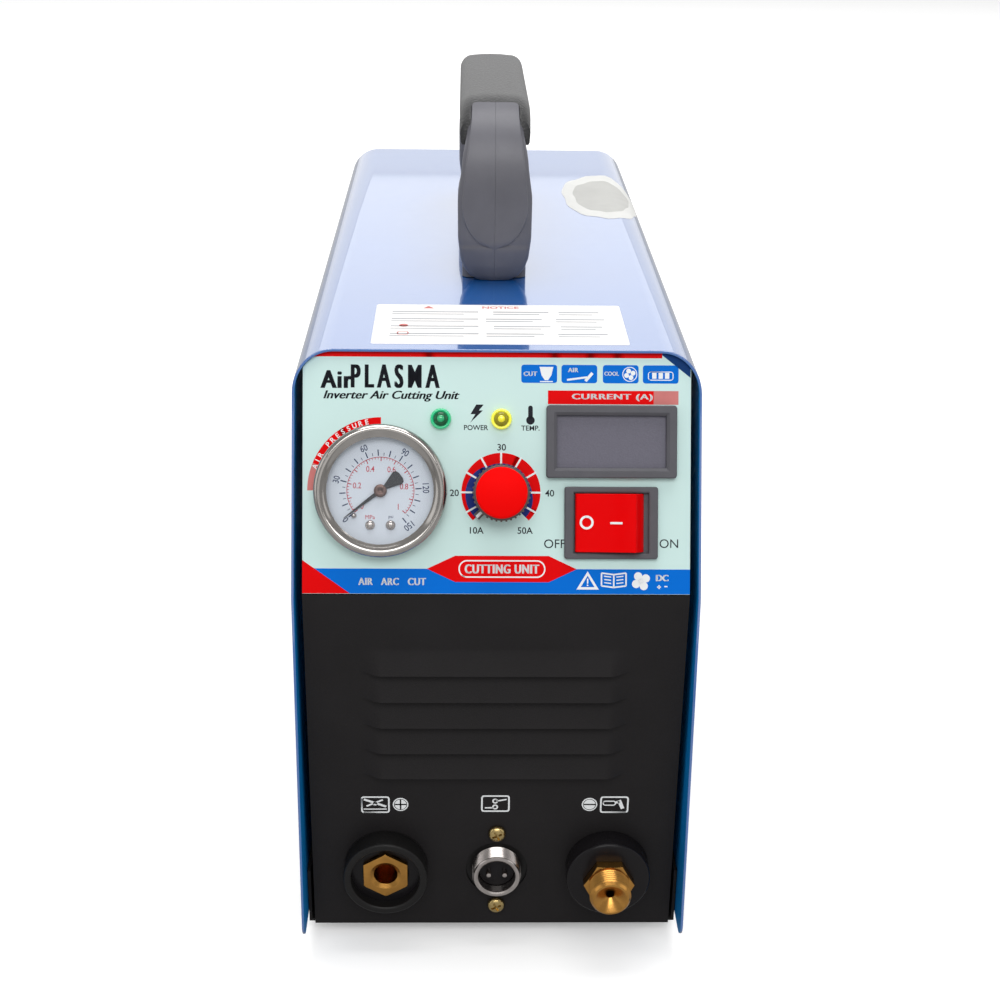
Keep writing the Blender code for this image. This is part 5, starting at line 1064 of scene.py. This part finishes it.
def make_signal_socket():
    place = at(LOWER, 0, 27.2)
    shell = [(7.4, -13.5), (8.8, -13.5), (8.8, -3.5), (12.9, -3.5), (12.9, -1.4), (9.3, -1.4)]
    shell += thread(-1.2, 5.4, 9.8, 0.9, 0.35) + [(9.5, 5.6), (9.2, 6.0), (8.2, 6.0), (7.6, 5.6), (7.4, 5.0)]
    make("signal_shell", turned(shell, 96), NICKEL, "nickel", place, replaces=["signal_socket_shell"], sharp=28)
    recess = turned([(9.5, -1.35), (12.35, -1.35), (12.35, -0.9), (9.85, -0.9), (9.5, -1.1)], 64)
    make("signal_recess", recess, CUP_PLASTIC, "black_plastic", place)
    insert = [(0, -12.5), (7.3, -12.5), (7.3, 1.2), (7.0, 1.5), (0, 1.5)]
    make("signal_insert", turned(insert, 64), SOCKET_PLASTIC, "black_plastic", place, replaces=["signal_socket_insert"])
    for name, x in (("signal_pin_left", -3.2), ("signal_pin_right", 3.2)):
        pin = [(0, -16.5), (1.1, -16.5), (1.1, 4.2), (0.9, 4.7), (0.45, 4.9), (0, 4.9)]
        make(name + "_tip", turned(pin, 32), NICKEL, "nickel", at(place, x, 0), replaces=[name])
    head = [(0, -7), (1.6, -7), (1.6, 0.3), (3.5, 0.3), (3.5, 1.2), (3.1, 1.9), (2.2, 2.5), (0.8, 2.6), (0, 2.6)]
    for name, y in (("signal_screw_upper", 17.5), ("signal_screw_lower", -17.5)):
        phillips(head, at(place, 0, y), name + "_head", ZINC, "zinc", name)


# ---------------------------------------------------------------- handle
HANDLE_FRONT, HANDLE_REAR, HANDLE_TALL = 120.0, 290.0, 73.5
HANDLE_THICK, HANDLE_BEND = 23.0, 22.0
FACE_ENDS = (HANDLE_FRONT + 14.0, HANDLE_REAR - 14.0)  # where each pillar's face stops under the grip cap


def spline(knots, t):
    """Smooth value through (place, value) knots."""
    if t <= knots[0][0]:
        return knots[0][1]
    for (a, va), (b, vb) in zip(knots, knots[1:]):
        if t <= b:
            return va + (vb - va) * ease((t - a) / (b - a)) * 0.5 + (vb - va) * (t - a) / (b - a) * 0.5
    return knots[-1][1]


def handle_path():
    """Centre line (y, z above the cover) with its outward normal, from the front foot to the rear foot."""
    inset = HANDLE_THICK / 2
    high = HANDLE_TALL - inset
    front, rear = HANDLE_FRONT + inset, HANDLE_REAR - inset
    upright = [0.3, 1.2, 2.5, 4, 6, 8, 10, 12, 13.5, 15, 15.6, 16.4, 17.4, 18.6, 20, 21.5, 23, 25, 27, 29, 31, 34, 37]
    points = [(front, z) for z in upright]
    points += arc((front + HANDLE_BEND, high - HANDLE_BEND), HANDLE_BEND, 180, 90, 12)
    points += [(front + HANDLE_BEND + (rear - front - 2 * HANDLE_BEND) * i / 6, high) for i in range(1, 6)]
    points += arc((rear - HANDLE_BEND, high - HANDLE_BEND), HANDLE_BEND, 90, 0, 12)
    points += [(rear, z) for z in reversed(upright)]
    return points


def handle_section(wide, thick, face, step, curl):
    """Section (x, depth): a flat outer face a step above its rim, round sides and a round inner edge."""
    out, radius = thick / 2 - curl, 7.0
    points = [(0.0, out), (face * 0.5, out), (face - 0.3, out), (face, out - 0.1 * step), (face + 0.35, out - step)]
    turns = [math.radians(a) for a in (30, 50, 70, 90)]
    points += [(wide - 4 + 4 * math.sin(t), out - step - 3.8 + 3.8 * math.cos(t)) for t in turns]
    points += [(wide, 0.0)]
    turns = [math.radians(a) for a in (0, 22, 45, 68, 90)]
    points += [(wide - radius + radius * math.cos(t), -thick / 2 + radius - radius * math.sin(t)) for t in turns]
    return points + [(-x, d) for x, d in reversed(points) if x > 1e-6]


def make_handle():
    rings = []
    path = handle_path()
    for i, (y, z) in enumerate(path):
        before, after = Vector(path[max(i - 1, 0)]), Vector(path[min(i + 1, len(path) - 1)])
        along = (after - before).normalized()
        if i in (0, len(path) - 1):
            along = Vector((0, 1 if i == 0 else -1))
        normal = Vector((-along.y, along.x))
        wide = spline([(0, 7.5), (2.5, 10.6), (6, 12.9), (11, 14.4), (20, 15.3), (36, 15.4), (48, 13.6), (58, 11.4), (66, 10.6)], z)
        low_end = math.sqrt(max(1 - (max(34 - z, 0) / 18) ** 2, 0.001))
        face = min(13.4 * low_end, spline([(34, 13.4), (44, 12.4), (54, 10.4), (66, 9.4)], z), wide - 1.7)
        step = 0.9 * ease((z - 15) / 2)
        curl = spline([(0, 7.4), (3, 4.8), (8, 2.4), (14, 1.0), (18, 0.0)], z)
        section = handle_section(wide, HANDLE_THICK, max(face, 0.8), step, curl)
        rings.append([(x, y + normal.x * d, z + normal.y * d) for x, d in section])
    whole = add_loft(bmesh.new(), rings)
    blocks = bmesh.new()
    for start, end in ((HANDLE_FRONT + 11.5, HANDLE_FRONT + 46), (HANDLE_REAR - 46, HANDLE_REAR - 11.5)):
        add_prism(blocks, rounded(27, end - start, 3.0, (0, (start + end) / 2)), 0.3, 13.6)
    body = thing("handle", into_mesh(whole, "handle", TOP))
    combine(body, blocks, TOP, "UNION")
    for y in (HANDLE_FRONT + 30, HANDLE_REAR - 30):
        hole = turned([(0, 10.5), (2.3, 10.5), (2.3, 20), (0, 20)], 32)
        combine(body, hole, TOP @ Matrix.Translation((0, y, 8.5)) @ Matrix.Rotation(math.radians(-90), 4, "Y"))
    start, end = FACE_ENDS[0] - 0.3, FACE_ENDS[1] + 0.3
    seat = [(start, 55.7), (start + 13, 55.7), (start + 22, 62.2), (end - 22, 62.2), (end - 13, 55.7), (end, 55.7)]
    seat += [(end, 90), (start, 90)]
    seat = thing("seat", into_mesh(prism(seat, -20, 20, ALONG_X), "seat", TOP))
    for y in FACE_ENDS:
        combine(seat, face_end(9.9, y), TOP)
    mod = body.modifiers.new("seat", "BOOLEAN")
    mod.object, mod.solver = seat, "EXACT"
    settle(body)
    bpy.data.objects.remove(seat)
    for name, side in (("left", -1), ("right", 1)):
        half = thing("handle_" + name + "_shell", body.data.copy())
        span = sorted((side * 0.03, side * 30))
        keep = prism([(span[0], 100), (span[1], 100), (span[1], 320), (span[0], 320)], -5, 90)
        combine(half, keep, TOP, "INTERSECT")
        half.data.materials.clear()
        half.data.materials.append(HANDLE_PLASTIC)
        dress(half, "handle_plastic", replaces=["handle_" + name], sharp=38, bevel=0.12)
    bpy.data.objects.remove(body)
    make_grip()


def face_end(half, y):
    """The part of a pillar's face that runs up in front of the grip cap."""
    return prism(rounded(2 * half, 18, 3.0, (0, y)), 40, 95)


def make_grip():
    """The grained cap on the top of the arch."""
    inset = HANDLE_THICK / 2
    outer, middle = HANDLE_BEND + inset, HANDLE_FRONT + inset + HANDLE_BEND
    rings = []
    start, end = FACE_ENDS
    for i in range(61):
        y = (start + end) / 2 - (end - start) / 2 * math.cos(math.pi * i / 60)
        near = min(y - start, end - y)
        over = max(middle - start - near, 0)
        top = HANDLE_TALL - inset - HANDLE_BEND + math.sqrt(outer**2 - over**2)
        bottom = 56 + 6.5 * ease((near - 13) / 9)
        tall = top - bottom
        side = 14.75 - 0.9 * (over / outer) ** 2
        round_x, round_z = min(6.0, 1.5 + tall * 0.6), min(6.0, tall * 0.75)
        ring = [(side - 0.8, bottom), (side - 0.25, bottom + min(1.0, tall * 0.1))]
        for k in range(9):
            turn = math.radians(90 * k / 8)
            ring.append((side - round_x * (1 - math.cos(turn)), top - 0.5 - round_z * (1 - math.sin(turn))))
        ring.append((side * 0.3, top - 0.12))
        ring.append((0.0, top))
        rings.append([(x, y, z) for x, z in ring] + [(-x, y, z) for x, z in reversed(ring[:-1])])
    grip = thing("grip_cap", into_mesh(add_loft(bmesh.new(), rings), "grip_cap", TOP), GRIP_PLASTIC)
    for y in FACE_ENDS:
        combine(grip, face_end(10.0, y), TOP)
    grip.data.materials.clear()
    grip.data.materials.append(GRIP_PLASTIC)
    dress(grip, "grained_plastic", replaces=["handle_grip"], sharp=60)


# ---------------------------------------------------------------- rear and feet
def make_rear():
    fan = at(REAR, 0, 140)
    rings = bmesh.new()
    for k in range(6):
        radius = 14 + (57.6 - 14) * k / 5
        section = arc((radius, 1.65), 0.9 if k < 5 else 1.1, 0, 330, 11)
        add_turned(rings, section, 96)
    spoke = turned([(0, 12), (0.9, 12), (0.9, 57.6), (0, 57.6)], 12)
    spoke.transform(Matrix.Translation((0, 0, 2.0)) @ Matrix.Rotation(math.radians(90), 4, "X"))
    join(rings, repeated(spoke, 4, turn=90))
    add_turned(rings, [(0, 0.6), (14, 0.6), (14.4, 1.4), (13.6, 2.6), (0, 2.9)], 64)
    make("guard_wires", rings, CHROME, "chrome_wire", fan, replaces=["fan_guard"], sharp=60)

    hub = turned(soften([(0, -22), (18, -22), (18, -5), (17, -3.6), (0, -3.4)], 1.0), 72)
    rows = []
    for i in range(10):
        radius = 17 + (54 - 17) * i / 9
        twist = math.radians(48 - 20 * i / 9)
        chord = 11.5 + 1.5 * i / 9
        row = []
        for side, thick in ((-1, 0.5), (-0.4, 0.8), (0.3, 0.8), (1, 0.4), (1, -0.4), (0.3, -0.4), (-0.4, -0.4), (-1, -0.5)):
            bow = (1 - side * side) * 1.6
            run, rise = side * chord, thick + bow
            x, z = run * math.cos(twist) - rise * math.sin(twist), run * math.sin(twist) + rise * math.cos(twist)
            angle = x / radius
            row.append((radius * math.cos(angle), radius * math.sin(angle), max(-21.5, min(-3.8, -12.6 + z * 0.82))))
        rows.append(row)
    join(hub, repeated(add_loft(bmesh.new(), rows), 7, turn=360 / 7))
    make("fan_wheel", hub, SOCKET_PLASTIC, "black_plastic", fan, body="fan", replaces=["fan_rotor"], sharp=45)

    gland = at(REAR, 42, 36)
    body = turned([(5.5, -12), (10, -12), (10, 0.3), (12.5, 0.3), (12.5, 6), (8.5, 6), (8.5, 11), (5.5, 11)], 64)
    make("gland_base", body, CUP_PLASTIC, "black_plastic", gland, replaces=["gland_body"])
    dome = [(8.8, 6.3), (11, 6.3), (11, 15.5), (10.6, 18.5), (9.6, 21.6), (8.5, 24), (6.6, 24), (6.1, 23.4), (6.1, 11.3), (8.8, 11.3)]
    cap = turned(soften(dome, 0.6), 64)
    rib = prism([(10.6, -0.5), (11.0, -0.4), (11.0, 0.4), (10.6, 0.5)], 6.6, 15)
    join(cap, repeated(rib, 24, turn=15))
    make("gland_dome", cap, CUP_PLASTIC, "black_plastic", gland, replaces=["gland_cap"])
    tail = [(2.5, -16), (4.5, -16), (4.5, -6), (6.2, -6), (6.2, 0.3), (8.5, 0.3), (8.5, 4.6), (8.1, 5), (4.5, 5)]
    for barb in range(3):
        tail += [(4.9, 7 + barb * 4.5), (4.1, 11 + barb * 4.5)]
    make("inlet_tail", turned([*tail, (3.8, 21.3), (3.5, 21.5), (2.7, 21.5), (2.5, 21.3)], 64), BRASS, "brass", at(REAR, -44, 38), replaces=["air_inlet"])

    foot = [(0, 8.2), (1.6, 8.2), (1.6, 6.7), (10, 6.7), (10.0, 5.9), (9.0, 0.8), (8.4, 0.0), (3.9, 0), (3.5, 0.4), (3.5, 3), (0, 3)]
    for name, x, y in (("front_left", -57.5, 35), ("rear_left", -57.5, 355), ("front_right", 57.5, 35), ("rear_right", 57.5, 355)):
        make("rubber_foot_" + name, turned(foot, 64), RUBBER, "rubber", at(CASE, x, y), replaces=["foot_" + name], sharp=40)
    head = [(0, -6), (1.7, -6), (1.7, 0), (3.8, 0), (3.75, 0.9), (3.2, 1.7), (2.2, 2.2), (0, 2.3)]
    for side, label in ((-1, "left"), (1, "right")):
        for y, end in ((45, "front"), (345, "rear")):
            place = plane((side * HALF_WIDTH * MM, CASE_Y + y * MM, 19.3 * MM), (0, side, 0), (0, 0, 1))
            node = f"cover_screw_{label}_{end}"
            phillips(head, place, node + "_head", ZINC, "zinc", node)


# ---------------------------------------------------------------- pieces that keep their frame shape
def finish_frame_pieces():
    kept = {
        "control_overlay": FOIL, "base_tray": BLACK_PAINT, "rear_panel": BLACK_PAINT, "fan_frame": CUP_PLASTIC,
        "gauge_case": STEEL, "potentiometer": STEEL, "potentiometer_shaft": STEEL, "handle_bolt_front": ZINC,
        "handle_bolt_rear": ZINC, "main_board": BOARD, "control_board": BOARD, "heat_sink_left": ALUMINIUM,
        "heat_sink_right": ALUMINIUM, "main_transformer": FERRITE, "output_inductor": COPPER, "bus_capacitor": CAN,
        "arc_starter": CUP_PLASTIC, "solenoid_valve": BRASS, "valve_plunger": STEEL, "air_hose": HOSE,
    }
    for name, mat in kept.items():
        data = frame["nodes"][name].data
        data.materials.clear()
        data.materials.append(mat)


# ---------------------------------------------------------------- stage
def softbox(name, place, towards, wide, tall, glow):
    """A large even light. Glow is its brightness."""
    light = bpy.data.lights.new(name, "AREA")
    light.shape, light.size, light.size_y = "RECTANGLE", wide, tall
    light.energy = glow * math.pi * wide * tall
    obj = bpy.data.objects.new(name, light)
    bpy.context.scene.collection.objects.link(obj)
    obj.location = place
    obj.rotation_euler = (Vector(towards) - Vector(place)).to_track_quat("-Z", "Y").to_euler()


def make_stage():
    mesh = bmesh.new()
    reach = 12.0
    corners = [mesh.verts.new((x, y, 0)) for x, y in ((-reach, -reach), (reach, -reach), (reach, reach), (-reach, reach))]
    mesh.faces.new(corners)
    data = bpy.data.meshes.new("floor")
    mesh.to_mesh(data)
    mesh.free()
    thing("floor", data, FLOOR)
    world = bpy.data.worlds.new("studio")
    bpy.context.scene.world = world
    world.use_nodes = True
    back = world.node_tree.nodes["Background"]
    back.inputs["Color"].default_value = (1.0, 1.0, 1.0, 1)
    back.inputs["Strength"].default_value = 0.42
    softbox("behind_low", (0, 2.6, 0.42), (0, 0, 0.3), 5.0, 0.75, 0.66)
    softbox("behind_high", (0, 2.6, 1.65), (0, 0, 0.35), 5.0, 1.7, 1.1)
    softbox("overhead", (0, 0.2, 2.2), (0, 0, 0.1), 1.6, 1.1, 4.6)
    softbox("front_top", (0, -1.9, 2.0), (0, 0, 0.1), 2.0, 1.0, 4.2)
    softbox("left", (-2.2, -0.6, 1.0), (0, 0, 0.15), 1.6, 1.6, 0.75)
    softbox("right", (2.2, -0.6, 1.0), (0, 0, 0.15), 1.6, 1.6, 0.7)
    softbox("fill", (0, -2.6, 0.8), (0, 0, 0.15), 2.2, 1.0, 0.5)
    scene = bpy.context.scene
    scene.view_settings.view_transform = "Standard"


def make_camera():
    """Camera at eye height above the front, a little left of the middle."""
    pitch, yaw, roll = math.radians(24.017), math.radians(1.385), math.radians(-0.801)
    ahead = Vector((math.sin(yaw) * math.cos(pitch), math.cos(yaw) * math.cos(pitch), -math.sin(pitch)))
    level = Vector((math.cos(yaw), -math.sin(yaw), 0))
    down = ahead.cross(level)
    right = math.cos(roll) * level + math.sin(roll) * down
    below = -math.sin(roll) * level + math.cos(roll) * down
    data = bpy.data.cameras.new("camera")
    data.lens, data.sensor_width = 58.69, 36.0
    camera = bpy.data.objects.new("camera", data)
    bpy.context.scene.collection.objects.link(camera)
    pose = Matrix((right, -below, -ahead)).transposed().to_4x4()
    pose.translation = (-0.0123, -0.7332, 0.4399)
    camera.matrix_world = pose
    bpy.context.scene.camera = camera


make_cover()
make_cover_labels()
make_front_panel()
socket_icons()
print_foil()
make_gauge()
make_lamps()
make_display()
make_switch()
make_knob()
make_power_sockets()
make_signal_socket()
make_handle()
make_rear()
finish_frame_pieces()
make_stage()
make_camera()
